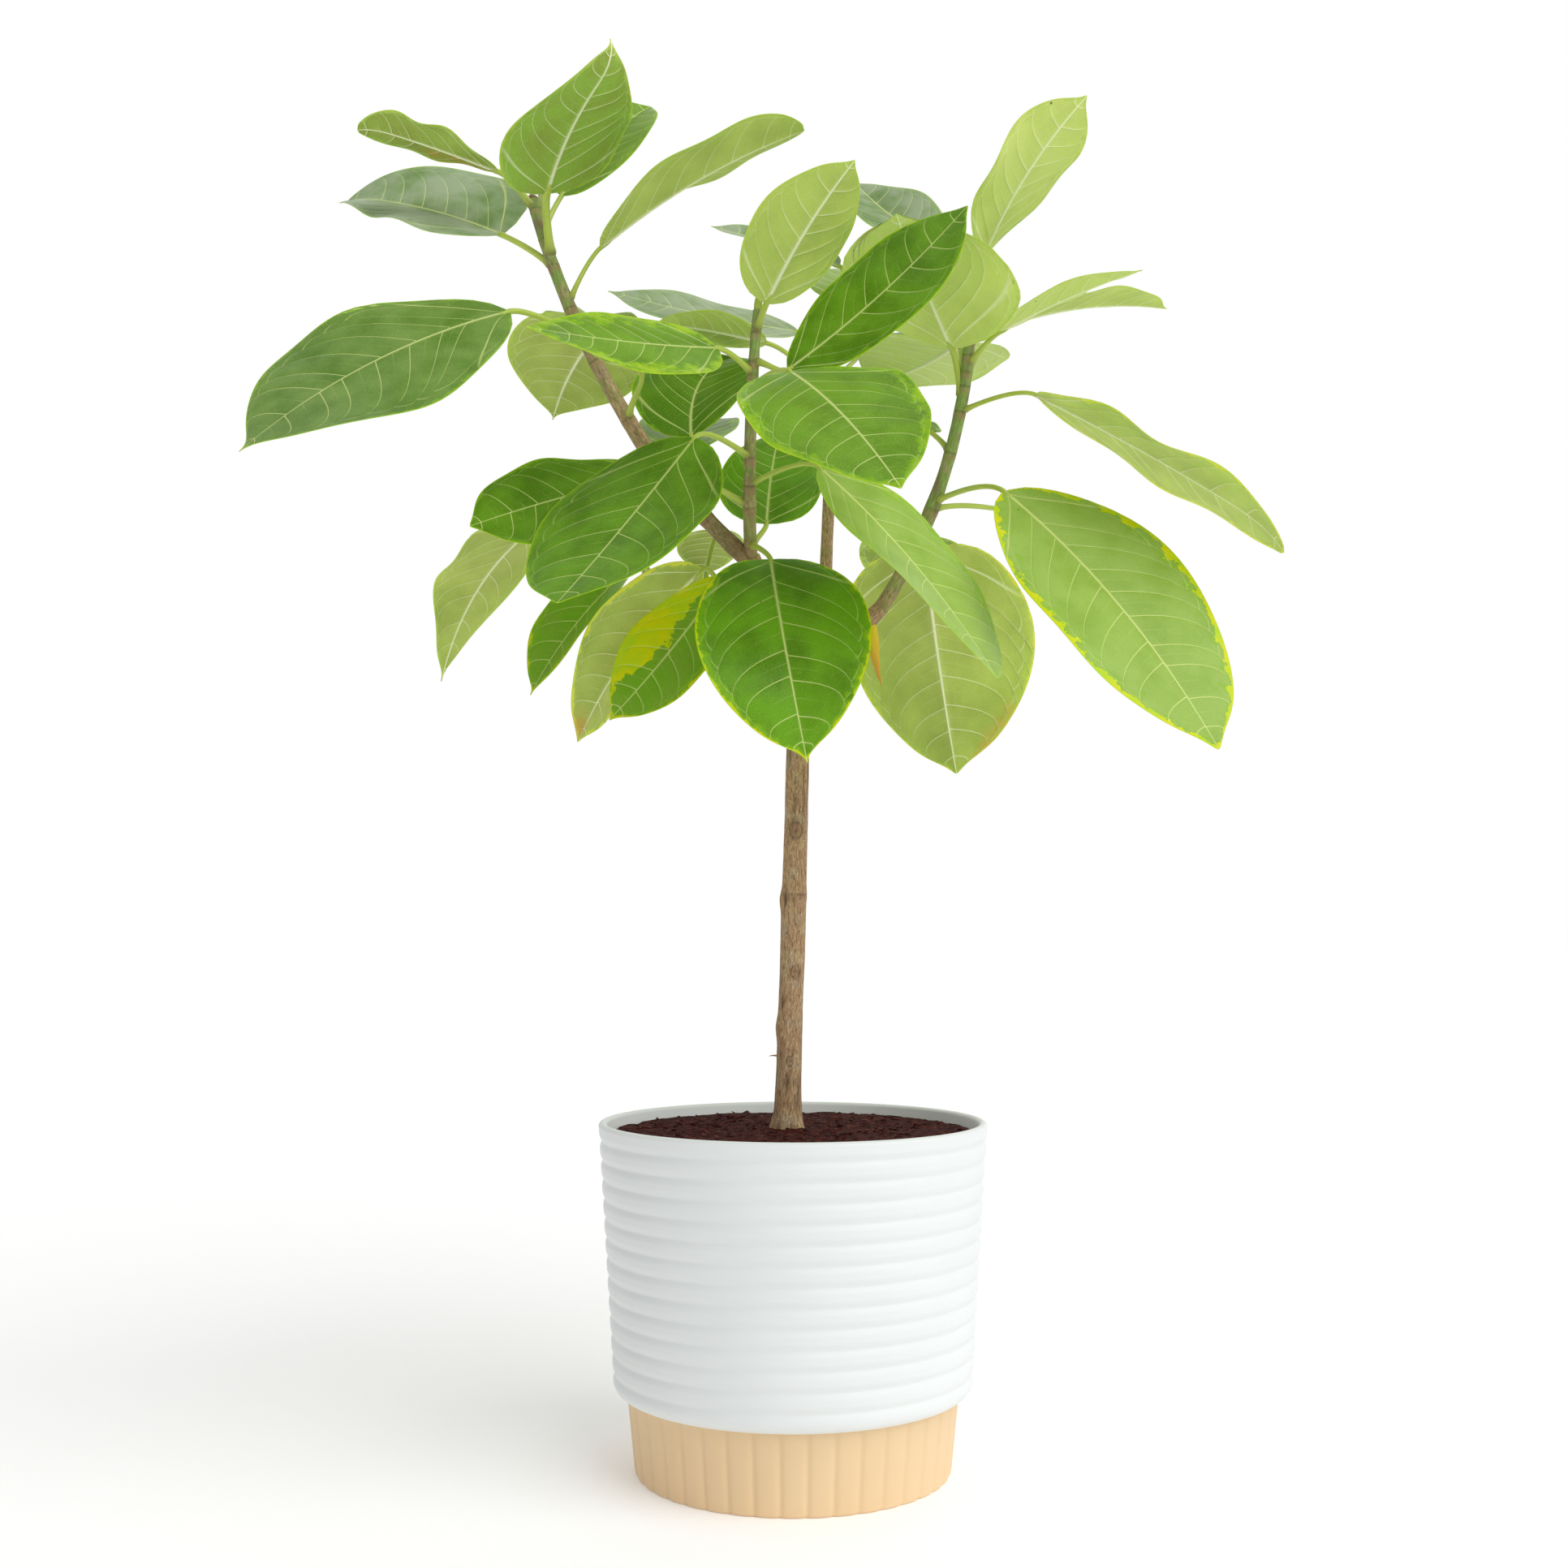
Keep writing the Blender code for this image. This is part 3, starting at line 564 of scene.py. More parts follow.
def grow_limbs() -> dict[str, np.ndarray]:
    """Grow every limb's axis from its place on its parent, the trunk from the foot of its solid.

    Returns:
        The limbs' axes by name.
    """
    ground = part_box("trunk")[0].z
    axes = {}
    for name, limb in LIMBS.items():
        foot = np.array([TRUNK_FOOT_X, TRUNK_FOOT_Y, ground])
        if limb.parent:
            foot = place_on(axes[limb.parent], limb.share)[0]
        axes[name] = limb_axis(foot, limb)
    return axes


# Finishes

# The colour Mix node's sockets go by number, because those of its other data types have the same names
AMOUNT, BELOW, ABOVE, MIXED = 0, 6, 7, 2


@dataclass(frozen=True)
class Finish:
    """What every finish has: a name, one roughness and gloss all over, and how far light gets through it."""

    name: str
    roughness: float
    specular: float = 0.5
    glow: float = 0.0
    glow_reach: float = 0.8 * MM
    glow_spread: tuple[float, float, float] = (0.5, 1.0, 0.2)

    def pattern(self, tree: bpy.types.NodeTree) -> dict[str, bpy.types.NodeSocket]:
        """Give what varies over the surface by the shader's input; a plain finish has nothing that varies."""
        return {}

    def make(self) -> bpy.types.Material:
        """Set the constant values on the shader's inputs, and link the pattern to the others.

        Returns:
            The material.
        """
        made = bpy.data.materials.new(self.name)
        made.use_nodes = True
        tree = made.node_tree
        inputs = tree.nodes["Principled BSDF"].inputs
        constants = {"Roughness": self.roughness, "Specular IOR Level": self.specular,
                     "Subsurface Weight": self.glow, "Subsurface Scale": self.glow_reach,
                     "Subsurface Radius": self.glow_spread}
        for name, value in constants.items():
            inputs[name].default_value = value
        for name, source in self.pattern(tree).items():
            tree.links.new(source, inputs[name])
        return made


@dataclass(frozen=True)
class MouldedPlastic(Finish):
    """Injection-moulded polypropylene with a fine spark-eroded texture: soft highlights and no grain."""

    colour: str = "#e9ecec"
    shade: str = "#e2e6e6"
    cloud: float = 60 * MM
    texture: float = 0.9 * MM
    relief: float = 0.03 * MM
    gloss_change: float = 0.05

    def pattern(self, tree: bpy.types.NodeTree) -> dict[str, bpy.types.NodeSocket]:
        """Vary the colour in slow clouds and the gloss with the mould's fine texture, drawn coarse to show.

        Args:
            tree: the material's nodes.
        Returns:
            What varies over the surface, by the shader's input.
        """
        place = add_node(tree, "TexCoord", {}, "Object")
        cloud = add_node(tree, "TexNoise", {"Vector": place, "Scale": 1 / self.cloud, "Detail": 3})
        grit = add_node(tree, "TexNoise", {"Vector": place, "Scale": 1 / self.texture, "Detail": 2})
        rough = add_node(tree, "MapRange", {"Value": grit, "To Min": self.roughness - self.gloss_change,
                                            "To Max": self.roughness + self.gloss_change})
        tint = add_node(tree, "Mix", {AMOUNT: cloud, BELOW: self.shade, ABOVE: self.colour}, MIXED,
                        data_type="RGBA")
        bump = add_node(tree, "Bump", {"Height": grit, "Distance": self.relief, "Strength": 0.6})
        return {"Base Color": tint, "Roughness": rough, "Normal": bump}


@dataclass(frozen=True)
class PottingMix(Finish):
    """Moist coir and composted bark: dark red-brown crumbs with pale fibres and chips, no gloss."""

    dark: str = "#1f0c0b"
    warm: str = "#4e1d19"
    fibre: str = "#9a6c56"
    crumb: float = 2.4 * MM
    fibre_width: float = 1.1 * MM
    fibre_squeeze: float = 0.22
    fibre_peaks: tuple[float, float] = (0.61, 0.70)
    fibre_strength: float = 0.8
    relief: float = 0.8 * MM

    def pattern(self, tree: bpy.types.NodeTree) -> dict[str, bpy.types.NodeSocket]:
        """Tint crumb by crumb, and draw fibres where a noise stretched to one side peaks.

        Args:
            tree: the material's nodes.
        Returns:
            What varies over the surface, by the shader's input.
        """
        place = add_node(tree, "TexCoord", {}, "Object")
        crumbs = add_node(tree, "TexVoronoi", {"Vector": place, "Scale": 1 / self.crumb}, "Color")
        grey = add_node(tree, "SeparateColor", {"Color": crumbs})
        drawn = add_node(tree, "Mapping", {"Vector": place, "Scale": (self.fibre_squeeze, 1, 1)})
        strands = add_node(tree, "TexNoise", {"Vector": drawn, "Scale": 1 / self.fibre_width, "Detail": 2,
                                              "Distortion": 1.2})
        low, high = self.fibre_peaks
        peaks = add_node(tree, "MapRange", {"Value": strands, "From Min": low, "From Max": high,
                                            "To Max": self.fibre_strength})
        tint = self.dark
        for amount, above in ((grey, self.warm), (peaks, self.fibre)):
            tint = add_node(tree, "Mix", {AMOUNT: amount, BELOW: tint, ABOVE: above}, MIXED, data_type="RGBA")
        bump = add_node(tree, "Bump", {"Height": strands, "Distance": self.relief, "Strength": 0.8})
        return {"Base Color": tint, "Normal": bump}


@dataclass(frozen=True)
class Bark(Finish):
    """Young ficus bark: tan cork with cream threads and flecks, and smooth mottled rind on new shoots."""

    tan: str = "#b99a72"
    umber: str = "#7f644a"
    rust: str = "#967154"
    cream: str = "#d6bf94"
    grey: str = "#9a8a76"
    lichen: str = "#a89a5c"
    rind: str = "#6b8a40"
    rind_light: str = "#a9c067"
    mottle: str = "#826e56"
    crack: str = "#34271b"
    scar: str = "#a07a5c"
    streak: float = 1.0 * MM
    thread: float = 1.5 * MM
    stretch: float = 4.5
    blotch: float = 3.6 * MM
    cloud: float = 12 * MM
    old_from: float = 0.80
    old_to: float = 1.20
    old_clouds: float = 0.9
    thread_break: float = -0.10
    relief: float = 0.35 * MM

    def pattern(self, tree: bpy.types.NodeTree) -> dict[str, bpy.types.NodeSocket]:
        """Lay tints over each other by the marks on the limb: grain place, age, crack and scar.

        A thread runs where a noise, drawn out lengthwise, crosses its mean. The streaks break it into flecks.

        Args:
            tree: the material's nodes.
        Returns:
            What varies over the surface, by the shader's input.
        """
        grain = add_node(tree, "Attribute", {}, "Vector", attribute_name="grain")
        age, crack, scar = (add_node(tree, "Attribute", {}, "Fac", attribute_name=name)
                            for name in ("age", "crack", "scar"))
        drawn = add_node(tree, "Mapping", {"Vector": grain, "Scale": (1, 1, 1 / self.stretch)})
        streaks, clouds, blotches, winding = (
            add_node(tree, "TexNoise", {"Vector": place, "Scale": 1 / size, "Detail": detail,
                                        "Roughness": finer, "Distortion": warp})
            for place, size, detail, finer, warp in (
                (drawn, self.streak, 4, 0.62, 0), (grain, self.cloud, 3, 0.5, 0),
                (drawn, self.blotch, 3, 0.5, 0), (drawn, self.thread, 2, 0.5, 0.5)))
        off = add_node(tree, "Math", {0: winding, 1: 0.5}, operation="SUBTRACT")
        off = add_node(tree, "Math", {0: off}, operation="ABSOLUTE")
        off = add_node(tree, "Math", {0: streaks, 1: self.thread_break, 2: off}, operation="MULTIPLY_ADD")
        aged = add_node(tree, "Math", {0: clouds, 1: self.old_clouds, 2: age}, operation="MULTIPLY_ADD")
        old = add_node(tree, "MapRange", {"Value": aged, "From Min": self.old_from, "From Max": self.old_to})
        # Each tint's amount goes from its first value to its last while the source goes from low to high.
        layers = {
            "cork": (self.umber, (
                (streaks, 0.36, 0.56, 0, 1, self.tan), (clouds, 0.40, 0.60, 0.5, 0, self.rust),
                (clouds, 0.50, 0.70, 0, 0.6, self.grey), (blotches, 0.58, 0.70, 0, 0.3, self.lichen),
                (off, -0.048, -0.018, 0.7, 0, self.cream), (streaks, 0.28, 0.38, 0.6, 0, self.crack))),
            "rind": (self.rind, ((streaks, 0.30, 0.70, 0, 0.6, self.rind_light),
                                 (blotches, 0.48, 0.62, 0, 0.75, self.mottle))),
        }
        tints = {}
        for name, (colour, spans) in layers.items():
            for source, low, high, first, last, above in spans:
                amount = add_node(tree, "MapRange", {"Value": source, "From Min": low, "From Max": high,
                                                     "To Min": first, "To Max": last})
                colour = add_node(tree, "Mix", {AMOUNT: amount, BELOW: colour, ABOVE: above}, MIXED,
                                  data_type="RGBA")
            tints[name] = colour
        tint = tints["rind"]
        # The crack mark also carries a limb's overall darkening, partly painted shade.
        for amount, above in ((old, tints["cork"]), (scar, self.scar), (crack, self.crack)):
            tint = add_node(tree, "Mix", {AMOUNT: amount, BELOW: tint, ABOVE: above}, MIXED, data_type="RGBA")
        rough = add_node(tree, "MapRange", {"Value": old, "To Min": 0.2, "To Max": 0.8})
        bump = add_node(tree, "Bump", {"Height": streaks, "Distance": self.relief, "Strength": rough})
        return {"Base Color": tint, "Normal": bump}


@dataclass(frozen=True)
class StalkSkin(Finish):
    """Leaf stalk skin: smooth, waxy and yellow-green, with faint lengthwise lines and a brown foot."""

    pale: str = "#c5d45c"
    green: str = "#9db643"
    foot: str = "#7f7f3c"
    line: float = 1.6 * MM
    line_squeeze: float = 0.08
    relief: float = 0.15 * MM

    def pattern(self, tree: bpy.types.NodeTree) -> dict[str, bpy.types.NodeSocket]:
        """Draw lines along the grain place, and tint the foot by the mark age, which is 1 there.

        Args:
            tree: the material's nodes.
        Returns:
            What varies over the surface, by the shader's input.
        """
        grain = add_node(tree, "Attribute", {}, "Vector", attribute_name="grain")
        age = add_node(tree, "Attribute", {}, "Fac", attribute_name="age")
        drawn = add_node(tree, "Mapping", {"Vector": grain, "Scale": (1, 1, self.line_squeeze)})
        lines = add_node(tree, "TexNoise", {"Vector": drawn, "Scale": 1 / self.line, "Detail": 2})
        tint = self.green
        for amount, above in ((lines, self.pale), (age, self.foot)):
            tint = add_node(tree, "Mix", {AMOUNT: amount, BELOW: tint, ABOVE: above}, MIXED, data_type="RGBA")
        bump = add_node(tree, "Bump", {"Height": lines, "Distance": self.relief, "Strength": 0.5})
        return {"Base Color": tint, "Normal": bump}


@dataclass(frozen=True)
class LeafSkin(Finish):
    """One side of a ficus leaf: a cuticle over a net of fine veins, with gold where the green is missing."""

    deep: str = "#4c7a00"
    bright: str = "#97b946"
    lively: str = "#69a800"
    fresh: str = "#7eb400"
    lime: str = "#b2d21e"
    # Grey-green painted sheen: a painted reflection of the surroundings' glare on the glossy cuticle.
    bloom: str = "#a9b79a"
    gold: str = "#d6d60a"
    vein: str = "#dde894"
    vein_strength: float = 0.95
    net_strength: float = 0.09
    net: float = 1.7 * MM
    net_relief: float = 0.08 * MM
    cloud: float = 26 * MM
    cloud_light: float = 0.9
    jag: float = 9 * MM
    patch_jag: float = 1.5
    ripe: float = 16 * MM
    speck_gap: float = 34 * MM
    speck: str = "#5e4a20"
    scorch: str = "#b98a3a"
    gloss_change: float = 0.08

    def pattern(self, tree: bpy.types.NodeTree) -> dict[str, bpy.types.NodeSocket]:
        """Lay tints over each other by the marks on the blade: its place, veins, edge and tints.

        The fresher zone and the golden margin end where a noise times their width meets the distance
        to the edge. The net is drawn on the borders of Voronoi cells, coarser than life so that it shows.

        Args:
            tree: the material's nodes.
        Returns:
            What varies over the surface, by the shader's input.
        """
        place = add_node(tree, "Attribute", {}, "Vector", attribute_name="blade")
        value = {name: add_node(tree, "Attribute", {}, "Fac", attribute_name=name) for name in
                 ("vein", "edge", "zone", "gold", "patch", "tone", "bloom", "lively", "scorch")}
        clouds, blots, ripe = (
            add_node(tree, "TexNoise", {"Vector": place, "Scale": 1 / size, "Detail": detail,
                                        "Roughness": finer})
            for size, detail, finer in ((self.cloud, 3, 0.5), (self.jag, 5, 0.62), (self.ripe, 2, 0.5)))
        net = add_node(tree, "TexVoronoi", {"Vector": place, "Scale": 1 / self.net},
                       feature="DISTANCE_TO_EDGE")
        specks = add_node(tree, "TexVoronoi", {"Vector": place, "Scale": 1 / self.speck_gap})
        reach = add_node(tree, "MapRange", {"Value": blots, "From Min": 0.38, "From Max": 0.66,
                                            "To Min": 0.15, "To Max": 1.5}, clamp=False)
        sums = {}
        for name, kind, first, second, third in (
                ("light", "MULTIPLY_ADD", clouds, self.cloud_light, value["tone"]),
                ("far zone", "MULTIPLY", reach, value["zone"], 0),
                ("far gold", "MULTIPLY", reach, value["gold"], 0),
                ("in zone", "SUBTRACT", "far zone", value["edge"], 0),
                ("in gold", "SUBTRACT", "far gold", value["edge"], 0),
                ("in patch", "MULTIPLY_ADD", blots, self.patch_jag, value["patch"]),
                ("drawn vein", "MULTIPLY", value["vein"], self.vein_strength, 0),
                ("burnt", "MULTIPLY", value["scorch"], reach, 0)):
            feeds = {0: sums.get(first, first), 1: second, 2: third}
            sums[name] = add_node(tree, "Math", feeds, operation=kind)
        # Each span goes from its first value to its last while the source goes from low to high.
        spans = {}
        for name, source, low, high, first, last in (
                ("light", sums["light"], 0.40, 1.40, 0, 1),
                ("cloudy", clouds, 0.36, 0.62, 0.4, 1.3),
                ("fresh", sums["in zone"], -0.5 * MM, 0.7 * MM, 0, 0.55),
                ("lime", sums["in zone"], 1.0 * MM, 12 * MM, 0, 0.60),
                ("net", net, 0.0, 0.14, self.net_strength, 0),
                # patches where the painted sheen shows, driven by the slow clouds
                ("painted_sheen_patches", clouds, 0.35, 0.60, 0.35, 1.0),
                ("bare", sums["in gold"], -0.15 * MM, 0.35 * MM, 0, 1),
                ("has gold", value["gold"], 0, 0.5 * MM, 0, 1),
                ("splash", sums["in patch"], 0.74, 0.79, 0, 1),
                ("ripe", ripe, 0.30, 0.58, 0, 1),
                ("rim", value["edge"], 0.25 * MM, 0.8 * MM, 0.75, 0),
                ("burnt", sums["burnt"], 0, 1, 0, 0.75),
                ("speck", specks, 0.020, 0.032, 0.75, 0),
                ("relief", net, 0.0, 0.25, 1, 0),
                ("rough", clouds, 0, 1, self.roughness - self.gloss_change,
                 self.roughness + self.gloss_change)):
            spans[name] = add_node(tree, "MapRange", {"Value": source, "From Min": low, "From Max": high,
                                                      "To Min": first, "To Max": last})
        for name, kind, first, second in (("lively", "MULTIPLY", spans["cloudy"], value["lively"]),
                                          ("painted_sheen_patches", "MULTIPLY", spans["painted_sheen_patches"], value["bloom"]),
                                          ("bare", "MULTIPLY", spans["bare"], spans["has gold"]),
                                          ("golden", "MAXIMUM", "bare", spans["splash"])):
            sums[name] = add_node(tree, "Math", {0: sums.get(first, first), 1: second}, operation=kind)
        golden = add_node(tree, "Mix", {AMOUNT: spans["ripe"], BELOW: self.lime, ABOVE: self.gold}, MIXED,
                          data_type="RGBA")
        # Tints laid in order; the grey-green layer is painted sheen, a painted reflection mixed into the
        # colour.
        tint = self.deep
        for amount, above in (
                (spans["light"], self.bright), (sums["lively"], self.lively), (spans["fresh"], self.fresh),
                (spans["lime"], self.lime), (spans["net"], self.vein), (sums["painted_sheen_patches"], self.bloom),
                (sums["golden"], golden), (spans["rim"], self.lime), (sums["drawn vein"], self.vein),
                (spans["burnt"], self.scorch), (spans["speck"], self.speck)):
            tint = add_node(tree, "Mix", {AMOUNT: amount, BELOW: tint, ABOVE: above}, MIXED, data_type="RGBA")
        bump = add_node(tree, "Bump", {"Height": spans["relief"], "Distance": self.net_relief,
                                       "Strength": 0.5})
        return {"Base Color": tint, "Roughness": spans["rough"], "Normal": bump}


# Sub-assemblies

@dataclass(frozen=True)
class Planter:
    """The white body: a turned wall with soft convex bands between narrow grooves, and a rounded lip."""

    rim_radius: float
    rim_height: float
    underside: float
    foot_radius: float = 0.1176
    foot_height: float = 0.0620
    foot_fillet: float = 0.0085
    lip: float = 0.0058
    wall: float = 0.0095
    floor: float = 0.0080
    band_top: float = 0.2130
    band_pitch: float = 0.0124
    bands: int = 12
    band_depth: float = 1.5 * MM
    groove_sharpness: float = 1.12
    groove_softness: float = 0.02
    groove_reach: float = 0.28
    wall_rows: int = 230
    segments: int = 192

    @classmethod
    def from_frame(cls) -> "Planter":
        """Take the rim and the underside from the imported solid."""
        low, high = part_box("planter")
        return cls(rim_radius=high.x, rim_height=high.z, underside=low.z)

    def outer_radius(self, height: np.ndarray) -> np.ndarray:
        """Give a straight cone's radius less the grooves, each as deep as one minus a softened sine.

        Args:
            height: heights on the wall.
        Returns:
            The outer radius at each height.
        """
        cone = np.interp(height, (self.foot_height, self.rim_height), (self.foot_radius, self.rim_radius))
        turn = (self.band_top - height) / self.band_pitch
        bulge = np.sqrt(np.sin(math.pi * turn) ** 2 + self.groove_softness)
        banded = (turn > -self.groove_reach) & (turn < self.bands + self.groove_reach)
        groove = self.band_depth * np.clip(1 - self.groove_sharpness * bulge, 0, 1)
        return cone - np.where(banded, groove, 0)

    def profile(self) -> np.ndarray:
        """Run from the underside up the outer wall, over the lip and down the inner wall to the floor.

        The foot's fillet and the lip are arcs of a circle. The inner wall runs beside the cone, and
        thickens from the lip's width to the wall's in its first eighth.

        Returns:
            A radius and a height for each point.
        """
        fillet = np.linspace(-math.pi / 2, 0, 10)
        foot = np.stack([self.foot_radius - self.foot_fillet * (1 - np.cos(fillet)),
                         self.underside + self.foot_fillet * (1 + np.sin(fillet))], axis=1)
        lip_half = self.lip / 2
        lip_height = self.rim_height - lip_half
        height = np.linspace(self.foot_height, lip_height, self.wall_rows)
        wall = np.stack([self.outer_radius(height), height], axis=1)
        arc = np.linspace(0, math.pi, 13)[1:]
        lip = np.stack([self.rim_radius - lip_half + lip_half * np.cos(arc),
                        lip_height + lip_half * np.sin(arc)], axis=1)
        down = np.linspace(0.06, 1, 14)
        cone_drop = (self.rim_radius - self.foot_radius) * down
        thicker = (self.wall - self.lip) * np.minimum(down * 8, 1)
        inner_floor = self.underside + self.floor
        inner = np.stack([self.rim_radius - self.lip - cone_drop - thicker,
                          lip_height - (lip_height - inner_floor) * down], axis=1)
        return np.vstack([foot, wall, lip, inner])

    def build(self, finish: bpy.types.Material) -> None:
        """Turn the profile about Z and dress it.

        Args:
            finish: the white plastic.
        """
        radius, height = np.hsplit(self.profile(), 2)
        shell = Surface.of_rings(turned(radius, height, circle(self.segments)), {})
        shell.piece("planter_shell", "white_planter", ("planter",), [finish], sharp=40)


@dataclass(frozen=True)
class FlutedBase:
    """The sand-coloured base: a tray with flat lobes between narrow upright grooves and a soft lower edge."""

    top_radius: float
    height: float
    crest: float = 0.7 * MM
    foot_radius: float = 0.1030
    wall: float = 0.0070
    floor: float = 0.0060
    edge: float = 2.4 * MM
    lobes: int = 40
    groove_depth: float = 1.4 * MM
    groove_width: float = 0.21
    groove_share: float = 0.45
    lobe_power: float = 2.5
    underside_share: float = 0.3
    steps: int = 18

    @classmethod
    def from_frame(cls) -> "FlutedBase":
        """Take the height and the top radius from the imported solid; a lobe's crest stands proud of it."""
        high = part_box("planter_base")[1]
        return cls(top_radius=high.x + cls.crest, height=high.z)

    def build(self, finish: bpy.types.Material) -> None:
        """Carry the profile round Z, with an outer radius that drops on the way to a groove and in it.

        The drop on the way is a power of how near the groove is, and the drop in it is a bell curve.

        Args:
            finish: the sand-coloured plastic.
        """
        arc = np.linspace(0, math.pi / 2, 7)
        foot = np.stack([self.foot_radius - self.edge * (1 - np.sin(arc)),
                         self.edge * (1 - np.cos(arc))], axis=1)
        rise = np.linspace(self.edge, self.height, 16)[1:]
        cone = np.interp(rise, (0, self.height), (self.foot_radius, self.top_radius))
        inner = np.array([[self.top_radius - self.wall, self.height],
                          [self.foot_radius - self.wall, self.floor]])
        profile = np.vstack([foot, np.stack([cone, rise], axis=1), inner])
        turn = circle(self.lobes * self.steps, start=0.5)
        apart = abs((turn * self.lobes / (2 * math.pi) + 0.5) % 1 - 0.5) * 2
        groove = (self.groove_share * bell(1 - apart, self.groove_width)
                  + (1 - self.groove_share) * apart ** self.lobe_power)
        outside = np.zeros((len(profile), 1))
        outside[:len(foot) + len(rise)] = 1
        outside[0] = self.underside_share
        radius = profile[:, :1] - outside * groove * self.groove_depth
        tray = Surface.of_rings(turned(radius, profile[:, 1:], turn), {})
        tray.piece("fluted_base", "sand_base", ("planter_base",), [finish], sharp=55)


@dataclass(frozen=True)
class Soil:
    """The potting mix: a lumpy top inside the rim, with loose chips and crumbs lying on it."""

    radius: float
    height: float
    depth: float = 0.030
    sectors: int = 220
    rings: int = 110
    innermost: float = 0.006
    lump: float = 1.0 * MM
    lump_sizes: tuple[tuple[float, float], ...] = ((0.9, 0.022), (0.6, 0.0065), (0.45, 0.0024))
    sunk: float = 0.6 * MM
    wall_drop: float = 2 * MM
    mound: float = 1.5 * MM
    mound_reach: float = 0.018
    chips: int = 420
    chip_length: tuple[float, float] = (1.5, 5.0)
    chip_width: tuple[float, float] = (0.5, 1.4)
    chip_tilt: float = 0.35
    chip_area: tuple[float, float] = (0.01, 0.92)
    chip_ragged: tuple[float, float] = (0.7, 1.1)
    chip_sides: int = 6
    chip_thickness: float = 0.8
    chip_below: float = 0.6
    chip_above: float = 0.5
    seed: int = 5

    @classmethod
    def from_frame(cls) -> "Soil":
        """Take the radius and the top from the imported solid."""
        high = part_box("soil")[1]
        return cls(radius=high.x, height=high.z)

    def top(self, x: np.ndarray, y: np.ndarray) -> np.ndarray:
        """Give the top's height: three sizes of noise, lower towards the wall, raised round the trunk.

        The drop at the wall is the fourth power of the share out, and the mound is a bell curve.

        Args:
            x: places to the right of the pot's middle.
            y: places behind it.
        Returns:
            The height at each place.
        """
        place = np.stack([x, y, np.zeros_like(x)], axis=-1)
        out = np.hypot(x, y) / self.radius
        lumps = sum(share * smooth_noise(place, cell, self.seed + k)
                    for k, (share, cell) in enumerate(self.lump_sizes))
        mound = bell(np.hypot(x - TRUNK_FOOT_X, y - TRUNK_FOOT_Y), self.mound_reach)
        return self.height + self.lump * lumps - self.wall_drop * out ** 4 + self.mound * mound - self.sunk

    def build(self, finish: bpy.types.Material) -> None:
        """Make the lumpy top with its side and underside, and then the chips.

        Args:
            finish: the potting mix.
        """
        turn = circle(self.sectors)
        out = np.linspace(1, self.innermost, self.rings)[:, None] * self.radius
        x, y = out * np.cos(turn), out * np.sin(turn)
        top = np.stack([x, y, self.top(x, y)], axis=-1)
        below = top[:1].copy()
        below[..., 2] = self.height - self.depth
        ground = Surface.of_rings(np.concatenate([below, top]), {})
        ground.piece("soil_top", "soil", ("soil",), [finish], sharp=50)
        self.chip_surface().piece("soil_chips", "soil", ("soil",), [finish], sharp=30)

    def chip_surface(self) -> Surface:
        """Scatter flat six-sided chips: each is two rings squeezed in height and turned at random.

        They lie evenly over chip_area, which is a share of the top's area counted from its middle.

        Returns:
            All chips in one surface.
        """
        rng = np.random.default_rng(self.seed)
        out = np.sqrt(rng.uniform(*self.chip_area, self.chips)) * self.radius
        heading = rng.uniform(0, 2 * math.pi, self.chips)
        x, y = out * np.cos(heading), out * np.sin(heading)
        spin = rng.uniform(0, 2 * math.pi, self.chips)[:, None]
        long_side = rng.uniform(*self.chip_length, self.chips)[:, None] * MM
        wide_side = rng.uniform(*self.chip_width, self.chips)[:, None] * MM
        tilt = rng.uniform(-self.chip_tilt, self.chip_tilt, self.chips)[:, None]
        turn = circle(self.chip_sides)
        along = long_side * np.cos(turn) * rng.uniform(*self.chip_ragged, (self.chips, self.chip_sides))
        across = wide_side * np.sin(turn)
        ring = np.stack([x[:, None] + along * np.cos(spin) - across * np.sin(spin),
                         y[:, None] + along * np.sin(spin) + across * np.cos(spin),
                         self.top(x, y)[:, None] + along * tilt], axis=-1)
        lift = wide_side[..., None] * (0, 0, self.chip_thickness)
        pairs = np.stack([ring - lift * self.chip_below, ring + lift * self.chip_above], axis=1)
        return Surface.joined([Surface.of_rings(pair, {}) for pair in pairs])


@dataclass(frozen=True)
class Knot:
    """A healed bud on the trunk: share along it, heading in degrees, radius, height and its eye's depth."""

    share: float
    heading: float
    radius: float
    height: float
    eye: float = 1.0

    def shape(self, aside: np.ndarray, along: np.ndarray) -> tuple[np.ndarray, np.ndarray, np.ndarray]:
        """Draw a low mound with a sunken eye in a raised ring: bell curves of the distance over the radius.

        Args:
            aside: each point's distance from the knot round the trunk.
            along: its distance along the trunk.
        Returns:
            How far the knot lifts each point, darkens it to a crack and tints it as a scar.
        """
        apart = np.hypot(aside, along / 1.35) / self.radius
        ring = bell(apart - 0.75, 0.35) - 0.9 * bell(apart, 0.45)
        lift = self.height * (0.9 * bell(apart, 1.3) + 0.6 * self.eye * ring)
        lines = 0.8 * bell(apart - 1.02, 0.14) + 0.9 * bell(apart, 0.30)
        return lift, self.eye * lines, 0.5 * self.eye * bell(apart - 0.60, 0.3)


